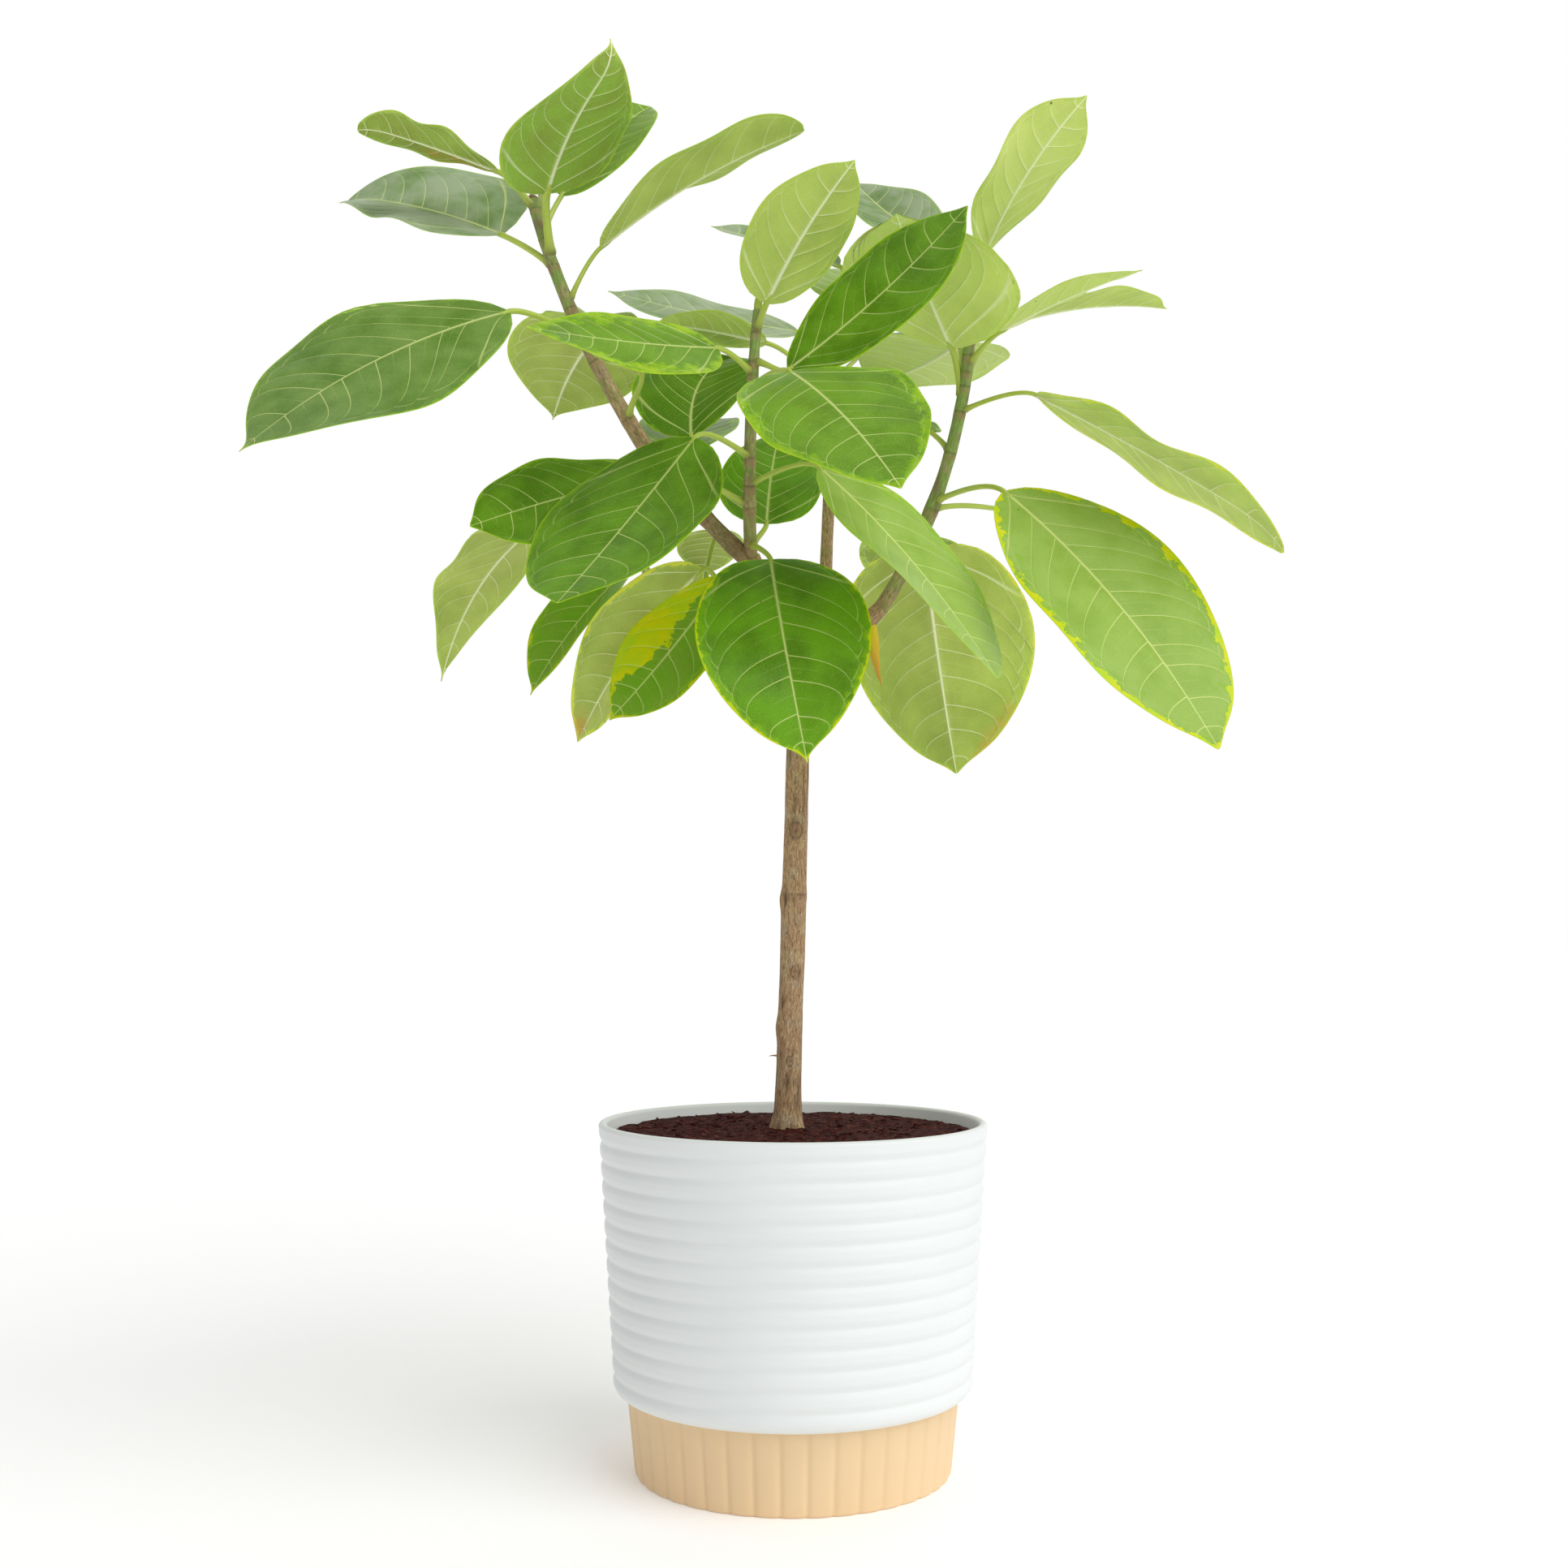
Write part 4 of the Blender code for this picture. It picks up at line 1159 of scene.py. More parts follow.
@dataclass(frozen=True)
class BarkedLimb:
    """A trunk or bough with the bark's relief: lengthwise plates and cracks, leaf rings and knots."""

    name: str
    axis: np.ndarray
    limb: Limb
    seed: int
    sides: int = 56
    step: float = 1.2 * MM
    flare: float = 3.5 * MM
    collar: float = 0.8 * MM
    flare_height: float = 12 * MM
    plate: float = 2.4 * MM
    plate_stretch: float = 7.0
    plate_height: float = 0.20 * MM
    crack_from: float = 0.55
    swell_gap: float = 26 * MM
    swell_height: float = 0.35 * MM
    ring_shares: tuple[float, ...] = ()
    ring_swell: float = 0.45 * MM
    ring_reach: float = 4 * MM
    ring_groove: float = 0.7 * MM
    scar_below: float = 2.6 * MM
    scar_reach: float = 2.2 * MM
    knots: tuple[Knot, ...] = ()

    def plates(self, base: np.ndarray, straight: np.ndarray,
               age: np.ndarray) -> tuple[np.ndarray, np.ndarray]:
        """Raise plates by a noise drawn out along the limb, and sink a crack where it is lowest.

        Args:
            base: the even radius of each ring.
            straight: each point's place on the limb drawn out straight.
            age: how old each ring's bark is.
        Returns:
            Each point's radius, and how far it is a crack.
        """
        drawn = straight * (1, 1, 1 / self.plate_stretch)
        coarse = smooth_noise(drawn, self.plate, self.seed)
        fine = smooth_noise(drawn, self.plate / 2.3, self.seed + 1)
        slow = smooth_noise(straight, self.swell_gap, self.seed + 2)
        crack = np.clip(-coarse * 1.5 - self.crack_from - 0.3 * fine, 0, 1) * age ** 2
        relief = self.plate_height * age * (coarse + 0.5 * fine - 1.2 * crack)
        return base[:, None] + relief + self.swell_height * slow, crack

    def surface(self) -> Surface:
        """Work out each ring point's radius: even taper, collar or flare, bark, leaf rings and knots.

        A leaf ring is a bell-shaped swelling with a fine groove on it and a scar just below.

        Returns:
            The closed limb with its marks: grain place, age, crack and scar.
        """
        length = self.limb.length
        share = np.linspace(0, 1, max(12, int(length / self.step)))
        axis_share = np.linspace(0, 1, len(self.axis))
        path = np.stack([np.interp(share, axis_share, self.axis[:, k]) for k in range(3)], axis=1)
        collar = self.flare if not self.limb.parent else self.collar if self.limb.share < 1 else 0
        base = np.interp(share, (0, 1), self.limb.radii)
        base = base + collar * np.exp(-share * length / self.flare_height)
        age = np.interp(share, (0, 1), self.limb.age)[:, None]
        radii, crack = self.plates(base, rings_along(path, base, self.sides)[1], age)
        scar = np.zeros_like(radii)
        for ring in self.ring_shares:
            past = ((share - ring) * length)[:, None]
            groove = bell(past, self.ring_groove)
            radii = radii + self.ring_swell * (bell(past, self.ring_reach) - 0.5 * groove)
            crack = np.maximum(crack, 0.5 * groove)
            scar = np.maximum(scar, 0.45 * bell(past + self.scar_below, self.scar_reach))
        # Darken the whole limb by its last number, like a crack: partly darker bark, partly painted shade.
        crack = np.maximum(crack, self.limb.stain_and_shade)
        out = rings_along(path, radii, self.sides)[0] - path[:, None]
        facing = np.arctan2(out[..., 1], out[..., 0])
        for knot in self.knots:
            aside = np.angle(np.exp(1j * (facing - math.radians(knot.heading)))) * base[:, None]
            lift, lines, tint = knot.shape(aside, (share[:, None] - knot.share) * length)
            radii = radii + lift
            crack, scar = np.maximum(crack, lines), np.maximum(scar, tint)
        rings, straight = rings_along(path, radii, self.sides)
        tip = path[-1] + to_unit(path[-1] - path[-2]) * base[-1] * 0.5
        blank = np.ones_like(radii)
        marks = {"grain": straight, "age": age * blank, "crack": crack * 0.85 * blank, "scar": scar}
        return Surface.of_rings(rings, marks, tip=tip)

    def build(self, finish: bpy.types.Material) -> None:
        """Make the piece that stands for the limb's solid."""
        self.surface().piece(f"{self.name}_bark", "bark", (self.name,), [finish], sharp=75)


@dataclass(frozen=True)
class BladeGrid:
    """A blade's grid, by row and column.

    share is how far along the midrib a point lies, off its distance from the midrib, negative on one
    hand, tau its share of the way from the rib to the margin, and half the half width there. across is
    each column's even share, hand its side, and rib is 0 on the midrib's crest and 1 off the midrib.
    vein and puff say how far each row is a side vein, and how far it is up in its field.
    """

    share: np.ndarray
    off: np.ndarray
    tau: np.ndarray
    half: np.ndarray
    across: np.ndarray
    hand: np.ndarray
    rib: np.ndarray
    vein: np.ndarray
    puff: np.ndarray


@dataclass(frozen=True)
class Blade:
    """A leaf's blade: the solid's outline and bend, with a keeled midrib, side veins and quilted fields."""

    leaf: Leaf
    foot: np.ndarray
    seed: int
    foot_half: float = 1.2 * MM
    tip_half: float = 0.5 * MM
    foot_power: float = 0.55
    tip_reach: float = 0.065
    hook_from: float = 0.72
    twist_middle: float = 0.3
    vein_pairs: float = 4.6
    vein_pairs_per_metre: float = 18
    vein_jitter: float = 0.018
    vein_half: float = 0.50 * MM
    minor_half: float = 0.30 * MM
    minor_strength: float = 0.35
    vein_fade: float = 0.45
    vein_slant: float = 0.68
    basal_vein: float = 0.022
    first_vein: float = 0.13
    last_vein: float = 0.93
    row_gap: float = 2.6 * MM
    rib_half: float = 1.5 * MM
    rib_least: float = 0.4 * MM
    rib_keel: float = 1.3 * MM
    half_thickness: float = 0.24 * MM
    sunk_vein: float = 0.12 * MM
    raised_vein: float = 0.40 * MM
    quilt: float = 0.45 * MM
    wave_height: tuple[float, float] = (0.012, 0.028)
    loop_share: float = 0.86
    loop_strength: float = 0.42
    columns: tuple[float, ...] = (0, 0.05, 0.13, 0.24, 0.36, 0.48, 0.60, 0.71, 0.79,
                                  0.852, 0.86, 0.868, 0.93, 1)

    def frame(self) -> tuple[np.ndarray, np.ndarray, np.ndarray]:
        """Take the across direction as level, and turn it and the upper one about the along one by the roll.

        Returns:
            The along, across and upper directions at the blade's middle.
        """
        heading, pitch, roll = self.leaf.blade
        along = direction(heading, pitch)
        h, r = math.radians(heading), math.radians(roll)
        across = np.array([-math.sin(h), math.cos(h), 0.0])
        upper = np.cross(along, across)
        return along, across * math.cos(r) + upper * math.sin(r), upper * math.cos(r) - across * math.sin(r)

    def lean(self, at: np.ndarray) -> tuple[np.ndarray, np.ndarray]:
        """Turn the blade's directions down and sideways by even angles, and down by the square in the hook.

        Args:
            at: shares of the midrib's length.
        Returns:
            The rib's direction and its upper normal at each share.
        """
        along, across, upper = self.frame()
        form = self.leaf.form
        hooked = np.radians(form.hook) * np.clip((at - self.hook_from) / (1 - self.hook_from), 0, 1) ** 2
        down = (np.radians(form.bend) * (0.5 - at) - hooked)[..., None]
        over = np.radians(form.sweep) * (0.5 - at)[..., None]
        level = np.cos(over) * along + np.sin(over) * across
        way = np.cos(down) * level + np.sin(down) * upper
        normal = np.cos(down) * upper - np.sin(down) * along
        return way, to_unit(normal - (normal * way).sum(axis=-1, keepdims=True) * way)

    def midrib(self, share: np.ndarray) -> tuple[np.ndarray, np.ndarray, np.ndarray]:
        """Follow the midrib from the foot in even steps, each in the direction at its middle.

        Args:
            share: shares along the midrib.
        Returns:
            Points, directions and upper normals at those shares.
        """
        fine = np.linspace(0, 1, 65)
        step = self.lean((fine[1:] + fine[:-1]) / 2)[0] * self.leaf.size[0] / (len(fine) - 1)
        line = np.vstack([self.foot, self.foot + np.cumsum(step, axis=0)])
        points = np.stack([np.interp(share, fine, line[:, k]) for k in range(3)], axis=-1)
        return points, *self.lean(share)

    def half_width(self, share: np.ndarray) -> np.ndarray:
        """Give half the width: a skewed sine to a power that grows along the blade, nipped in at the tip.

        Args:
            share: shares along the midrib.
        Returns:
            Half the width at each.
        """
        form = self.leaf.form
        skew = math.log(0.5) / math.log(form.peak)
        inside = np.clip(share, 1e-6, 1 - 1e-6) ** skew
        shape = np.sin(math.pi * inside) ** (self.foot_power + (form.tip - self.foot_power) * share)
        depth = 0.75 * min(max((form.tip - 0.3) / 0.6, 0), 1)
        nip = 1 - depth * bell(1 - share, self.tip_reach)
        least = self.foot_half * (1 - share) + self.tip_half * share
        return np.maximum(self.leaf.size[1] / 2 * shape * nip, least)

    def pairs(self) -> int:
        """Count the pairs of side veins, a few more on a longer blade."""
        return round(self.vein_pairs + self.vein_pairs_per_metre * self.leaf.size[0])

    def rows(self) -> tuple[np.ndarray, np.ndarray, np.ndarray]:
        """Place a row on each side vein's crest and its two edges, and share out the fields between them.

        Returns:
            Shares along the midrib, how far each is a vein, and how far each is up in its field.
        """
        length = self.leaf.size[0]
        count = self.pairs()
        jitter = np.random.default_rng(self.seed).uniform(-self.vein_jitter, self.vein_jitter, count)
        places = np.linspace(self.first_vein, self.last_vein, count) + jitter
        major = np.concatenate([[self.basal_vein], places])
        minor = (major[1:] + major[:-1])[1:] / 2
        crests, marks = [np.array([0, 1])], [np.zeros(2)]
        for place, half, strength in ((major, self.vein_half, 1),
                                      (minor, self.minor_half, self.minor_strength)):
            crests += [place - half / length, place, place + half / length]
            marks += [np.zeros_like(place), np.full_like(place, strength), np.zeros_like(place)]
        crests, marks = np.concatenate(crests), np.concatenate(marks)
        order = np.argsort(crests)
        fan = self.basal_vein * np.linspace(0.03, 0.7, 7) ** 1.5
        share = np.sort(np.concatenate([crests, fan]))
        for _ in range(3):
            gap = np.diff(share)
            share = np.sort(np.concatenate([share, (share[:-1] + gap / 2)[gap > self.row_gap / length]]))
        field_place = np.interp(share, np.concatenate([[0], major, [1]]), np.arange(count + 3))
        puffed = np.sin(math.pi * (field_place % 1)) ** 0.8
        return share, np.interp(share, crests[order], marks[order]), puffed

    def grid(self) -> BladeGrid:
        """Lay rows that lean forward from the midrib as side veins do, so that each vein is a grid line.

        A row's lean grows with the share across and with its cube, and fades at the foot and the tip. Rows
        on both hands are staggered. Columns near the loop that joins the veins swing out in each field.

        Returns:
            The grid.
        """
        length, width = self.leaf.size
        row, vein, puff = (values[:, None] for values in self.rows())
        side = np.array(self.columns)
        across = np.concatenate([side[::-1], np.zeros(3), side])
        rib = np.concatenate([np.ones(len(side)), [0.5, 0, 0.5], np.ones(len(side))])
        hand = np.concatenate([-np.ones(len(side) + 1), [0], np.ones(len(side) + 1)])
        lean = self.vein_slant * width / length * (0.6 * across + 0.4 * across ** 3)
        fan = (1 - 0.5 * np.exp(-row / 0.07) - 0.5 * np.exp(-row / (0.5 * self.basal_vein))) * (1 - row)
        stagger = 0.2 / self.pairs() * hand * rib
        step = np.clip((row - 0.03) / 0.12, 0, 1)
        share = np.clip(row + lean * fan + stagger * (step ** 2 * (3 - 2 * step) * (1 - row)), 0, 1)
        swing = 0.05 * (puff - 0.5) * bell(across - self.loop_share, 0.1) * (across < 1)
        tau = np.clip(across + swing, 0, 1)
        half = self.half_width(share)
        rib_width = np.minimum(self.rib_half * (1 - share) ** 0.7 + self.rib_least, 0.45 * half)
        off = hand * (rib * rib_width + tau * (half - rib_width))
        return BladeGrid(share, off, tau, half, across, hand, rib, vein, puff)

    def lift(self, grid: BladeGrid) -> np.ndarray:
        """Give the height over the midrib: a shallow fold, fields quilted up, and a wave on each hand.

        The fold is the distance times its angle's sine, a little less at the margin. A field puffs up by
        a sine along and across it. A wave is a sine along the blade that grows with the square of tau.

        Args:
            grid: the blade's grid.
        Returns:
            The height of each point.
        """
        form = self.leaf.form
        open_share = np.sin(math.pi * grid.share)
        lift = abs(grid.off) * math.sin(math.radians(form.fold)) * (1.25 - 0.25 * grid.tau)
        lift = lift + self.quilt * grid.puff * np.sin(math.pi * grid.tau ** 0.8) * open_share ** 0.5
        rng = np.random.default_rng(self.seed + 100)
        for sign in (-1, 1):
            waves, phase = rng.uniform(1.2, 2.6), rng.uniform(0, 2 * math.pi)
            height = rng.uniform(*self.wave_height)
            wave = form.wave * height * self.leaf.size[1] * np.sin(2 * math.pi * waves * grid.share + phase)
            lift = lift + np.where(grid.hand == sign, wave * open_share * grid.tau ** 2, 0)
        return lift

    def veins(self, grid: BladeGrid) -> np.ndarray:
        """Mark the side veins, which fade outwards, the lesser ones, which stop halfway, and their loop.

        Args:
            grid: the blade's grid.
        Returns:
            How far each point is a vein.
        """
        fade = np.clip(1 - self.vein_fade * grid.tau, 0, 1) * np.clip((1 - grid.tau) / 0.12, 0, 1)
        reach = np.where(grid.vein < 0.5, np.clip(1 - grid.tau * 1.8, 0, 1), 1)
        on_loop = abs(grid.across - self.loop_share) < 0.002
        loop = self.loop_strength * on_loop * np.clip(np.sin(math.pi * grid.share) * 3, 0, 1)
        return np.maximum(grid.vein * fade * reach, loop)

    def surface(self) -> Surface:
        """Carry the grid along the midrib, turned by the twist, and give it two skins.

        Veins are sunk in the upper skin and raised on the lower one, which also has the midrib's keel.

        Returns:
            The closed blade with its marks, its two slots and its place on the bake map.
        """
        grid = self.grid()
        form = self.leaf.form
        points, way, normal = self.midrib(grid.share)
        flat, lift = grid.off * math.cos(math.radians(form.fold)), self.lift(grid)
        twist = math.radians(form.twist) * (grid.share - self.twist_middle)
        flat, lift = flat * np.cos(twist) - lift * np.sin(twist), flat * np.sin(twist) + lift * np.cos(twist)
        middle = points + flat[..., None] * np.cross(normal, way) + lift[..., None] * normal

        vein = self.veins(grid)
        on_rib = grid.across == 0
        upper_core, lower_core, keel = (np.interp(grid.rib, (0, 0.5, 1), heights) * on_rib
                                        for heights in ((1, 0.30, 0), (1, 0.9, 0.1), (1, 0.75, 0)))
        keel = self.rib_keel * (1 - grid.share) ** 0.8 * keel
        skin = self.half_thickness * (1 - 0.5 * grid.tau ** 2)
        raised = np.where(on_rib, 0, vein)
        upper = middle + (skin + 0.15 * keel - self.sunk_vein * raised)[..., None] * normal
        lower = middle - (skin + keel + self.raised_vein * raised)[..., None] * normal
        return self.closed(upper, lower, grid, np.maximum(vein, np.stack([upper_core, lower_core])[:, None]))

    def closed(self, upper: np.ndarray, lower: np.ndarray, grid: BladeGrid, veins: np.ndarray) -> Surface:
        """Join the skins round the edge and mark what the finish needs.

        Args:
            upper: the upper skin's points by row and column.
            lower: the lower skin's points.
            grid: the blade's grid.
            veins: how far each point is a vein, on the upper and on the lower skin.
        Returns:
            The closed blade.
        """
        look, length, off = self.leaf.look, self.leaf.size[0], grid.off
        rows, columns = off.shape
        count = rows * columns
        faces = grid_faces(rows, columns)
        numbers = np.arange(count).reshape(rows, columns)
        edge = np.concatenate([numbers[:, 0], numbers[-1, 1:], numbers[-2::-1, -1], numbers[0, -2:0:-1]])
        after = np.roll(edge, -1)
        rim = np.stack([after, edge, edge + count, after + count], axis=1)
        along = grid.share * length
        # the tone's sheen number becomes a mark for painted sheen, a painted reflection
        even = dict(zip(("zone", "gold", "tone", "bloom", "lively"), look.margin.value + look.tone.value))
        field_of = {
            "blade": np.stack([along, off, np.full_like(off, 0.1 * self.seed)], axis=-1),
            "edge": np.minimum(grid.half - abs(off), (1 - grid.share) * length),
            "patch": self.patch_field(look.patch, grid),
            "scorch": np.clip(1.6 * self.patch_field(look.scorch, grid), 0, 0.8),
            **{name: np.full_like(off, value) for name, value in even.items()},
        }
        marks = {name: np.tile(values.reshape(count, -1), (2, 1)) for name, values in field_of.items()}
        marks["vein"] = veins.reshape(2 * count, 1)
        slots = np.concatenate([np.zeros(len(faces)), np.ones(len(faces)), np.zeros(len(rim))])
        groups = [faces[:, ::-1], faces + count, rim]
        return Surface(np.concatenate([upper.reshape(-1, 3), lower.reshape(-1, 3)]), groups, marks, slots,
                       self.bake_places(along, off, groups))

    def patch_field(self, patch: Patch | None, grid: BladeGrid) -> np.ndarray:
        """Give one minus the distance from the patch's middle over its reach, kept from -1 to 0.6.

        Args:
            patch: the patch, or none.
            grid: the blade's grid.
        Returns:
            The field, 0 at the patch's rim.
        """
        if patch is None:
            return np.full_like(grid.share, -1.0)
        along = (grid.share - patch.middle[0]) / patch.reach[0]
        across = (grid.off / grid.half - patch.middle[1]) / patch.reach[1]
        return np.clip(1.0 - np.hypot(along, across), -1, 0.6)

    def bake_places(self, along: np.ndarray, off: np.ndarray, groups: list[np.ndarray]) -> np.ndarray:
        """Lay the upper skin flat on the left of the bake map, the lower on the right, the rim just outside.

        Args:
            along: distance of each point along the midrib.
            off: distance of each point from the midrib.
            groups: upper, lower and rim faces.
        Returns:
            A place on the map for each corner of each face.
        """
        length, width = self.leaf.size
        count = off.size
        scale = BAKE_FILL / max(length, 2.15 * width)
        left_middle = np.array([0.25, 0.5])
        places = left_middle + np.stack([off, along - length / 2], axis=-1).reshape(-1, 2) * scale
        flat = np.concatenate([places, places + (0.5, 0)])
        outer = left_middle + (places - left_middle) * RIM_SPREAD
        upper, lower, rim = groups
        rim_places = np.where((rim < count)[..., None], flat[np.minimum(rim, count - 1)], outer[rim % count])
        return np.concatenate([part.reshape(-1, 2) for part in (flat[upper], flat[lower], rim_places)])


@dataclass(frozen=True)
class Sprig:
    """A small tapering shoot: a bud, a hanging sheath or a dead twig. droop, in degrees, bends it down."""

    length: float
    radius: float
    belly: float = 0.35
    droop: float = 0.0
    brown: float = 0.0
    point: float = 0.05 * MM
    sides: int = 16
    steps: int = 20

    def surface(self, foot: np.ndarray, way: np.ndarray) -> Surface:
        """Run from the foot along a way that leans evenly down; a sine swells the radius, a power ends it.

        Args:
            foot: where it starts, inside what carries it.
            way: the unit direction it starts in.
        Returns:
            The closed sprig with the marks of bark and stalk finishes.
        """
        share = np.linspace(0, 1, self.steps)
        level = to_unit(np.array([way[0], way[1], 0.0]) + 1e-6)
        rise = math.asin(float(np.clip(way[2], -1, 1))) - np.radians(self.droop) * share[:, None]
        steps = np.cos(rise) * level + np.sin(rise) * np.array([0, 0, 1.0])
        path = foot + np.cumsum(steps, axis=0) * (self.length / self.steps)
        belly = 0.8 + self.belly * np.sin(math.pi * share ** 0.7)
        radii = self.radius * belly * (1 - share ** 1.6) + self.point
        rings, straight = rings_along(path, radii, self.sides)
        blank = np.zeros(rings.shape[:2])
        ripe = share[:, None] ** 1.5 if self.brown == 0 else 1
        return Surface.of_rings(rings, {"grain": straight, "age": blank + ripe,
                                        "crack": blank + self.brown, "scar": blank})


@dataclass(frozen=True)
class FoliageMass:
    """One mass of the crown: a ringed stem with its bud, stalks that swell at both ends, and the leaves.

    stalk_arms says how far a stalk's curve leans on the stem's direction and its own at its start, and on
    the blade's at its end, as shares of its length. under_shares and under_girths give the two places
    under the midrib where it ends, and how stout it is there.
    """

    name: str
    axis: np.ndarray
    limb: Limb
    leaves: tuple[Leaf, ...]
    seed: int
    bud: Sprig
    stalk_radius: float = 1.95 * MM
    stalk_sides: int = 16
    stalk_steps: int = 28
    stalk_arms: tuple[float, float, float] = (0.22, 0.85, 0.20)
    stalk_start: float = 0.38
    stalk_taper: float = 0.18
    stalk_foot: float = 3 * MM
    foot_swell: float = 0.55
    foot_shrink: float = 0.5
    shrink_reach: float = 1.5 * MM
    end_swell: float = 0.10
    end_reach: float = 5 * MM
    under_shares: tuple[float, float] = (0.03, 0.07)
    under_girths: tuple[float, float] = (0.62, 0.30)
    ring_gap: float = 0.05
    last_ring: float = 0.97
    bud_sunk: float = 1.5 * MM

    def leaf_foot(self, leaf: Leaf) -> tuple[np.ndarray, np.ndarray, np.ndarray]:
        """Find where a leaf grows from the stem and where its stalk ends.

        Args:
            leaf: the leaf.
        Returns:
            Its place on the stem, the stem's direction there, and the blade's foot.
        """
        node, way = place_on(self.axis, leaf.share)
        heading, rise, length = leaf.stalk
        return node, way, node + length * direction(heading, rise)

    def stalk(self, leaf: Leaf) -> Surface:
        """Carry a circle along a cubic curve from the stem to the blade, and a little way under its midrib.

        The radius tapers evenly, swells by falling powers of e near both ends, and shrinks inside the stem.

        Args:
            leaf: the leaf.
        Returns:
            The closed stalk with its marks: grain place, and age, which is 1 at its foot.
        """
        node, stem_way, foot = self.leaf_foot(leaf)
        blade = Blade(leaf, foot, 0)
        rib, way, normal = blade.midrib(np.array([0.0, *self.under_shares]))
        reach = np.linalg.norm(foot - node)
        out = (foot - node) / reach
        with_stem, with_stalk, with_blade = self.stalk_arms
        first = node + self.stalk_start * reach * (with_stem * stem_way + with_stalk * out)
        second = foot - with_blade * reach * way[0]
        t = np.linspace(0, 1, self.stalk_steps)[:, None]
        back = 1 - t
        curve = back ** 3 * node + 3 * back ** 2 * t * first + 3 * back * t ** 2 * second + t ** 3 * foot
        under = rib[1:] - normal[1:] * blade.rib_keel * (0.35 + 0.2 * leaf.form.girth)
        path = np.vstack([curve, under])
        share = np.linspace(0, 1, self.stalk_steps)
        skin_at = np.interp(leaf.share, (0, 1), self.limb.radii)
        swell = (self.foot_swell * np.exp(-abs(share * reach - skin_at) / self.stalk_foot)
                 - self.foot_shrink * np.exp(-share * reach / self.shrink_reach)
                 + self.end_swell * np.exp(-(1 - share) * reach / self.end_reach))
        even = (1 - self.stalk_taper * share) * (1 + swell)
        radii = leaf.form.girth * self.stalk_radius * np.append(even, self.under_girths)
        rings, straight = rings_along(path, radii, self.stalk_sides)
        past_foot = np.maximum(share * reach - self.stalk_foot, 0)
        foot_mark = np.append(np.exp(-past_foot / self.stalk_foot), (0, 0))
        return Surface.of_rings(rings, {"grain": straight + 0.05 * leaf.share,
                                        "age": np.repeat(foot_mark[:, None], self.stalk_sides, axis=1)})

    def build(self, bark: bpy.types.Material, skin: bpy.types.Material,
              sides: list[bpy.types.Material]) -> None:
        """Make the stem, the bud, the stalks and one piece for each leaf.

        Args:
            bark: finish of the stem.
            skin: finish of stalks and bud.
            sides: finishes of a leaf's upper and lower sides.
        """
        short = self.name.removesuffix("_foliage")
        rings = [0.0]
        for share in sorted(leaf.share for leaf in self.leaves):
            if self.ring_gap < share - rings[-1] < self.last_ring:
                rings.append(share)
        stem = BarkedLimb(self.name, self.axis, self.limb, self.seed, sides=36, plate_height=0.12 * MM,
                          ring_shares=tuple(rings), ring_swell=0.2 * MM)
        stem.surface().piece(f"{short}_stem", "bark", (self.name,), [bark], sharp=75)
        way = to_unit(self.axis[-1] - self.axis[-4])
        slot, finish = ("bark", bark) if self.bud.brown else ("leaf", skin)
        bud = self.bud.surface(self.axis[-1] - self.bud_sunk * way, way)
        bud.piece(f"{short}_bud", slot, (self.name,), [finish])
        stalks = Surface.joined([self.stalk(leaf) for leaf in self.leaves])
        stalks.piece(f"{short}_stalks", "leaf", (self.name,), [skin])
        for number, leaf in enumerate(self.leaves, 1):
            foot = self.leaf_foot(leaf)[2]
            blade = Blade(leaf, foot, self.seed + number)
            blade.surface().piece(f"{short}_leaf_{number}", "leaf", (self.name,), sides, sharp=50)


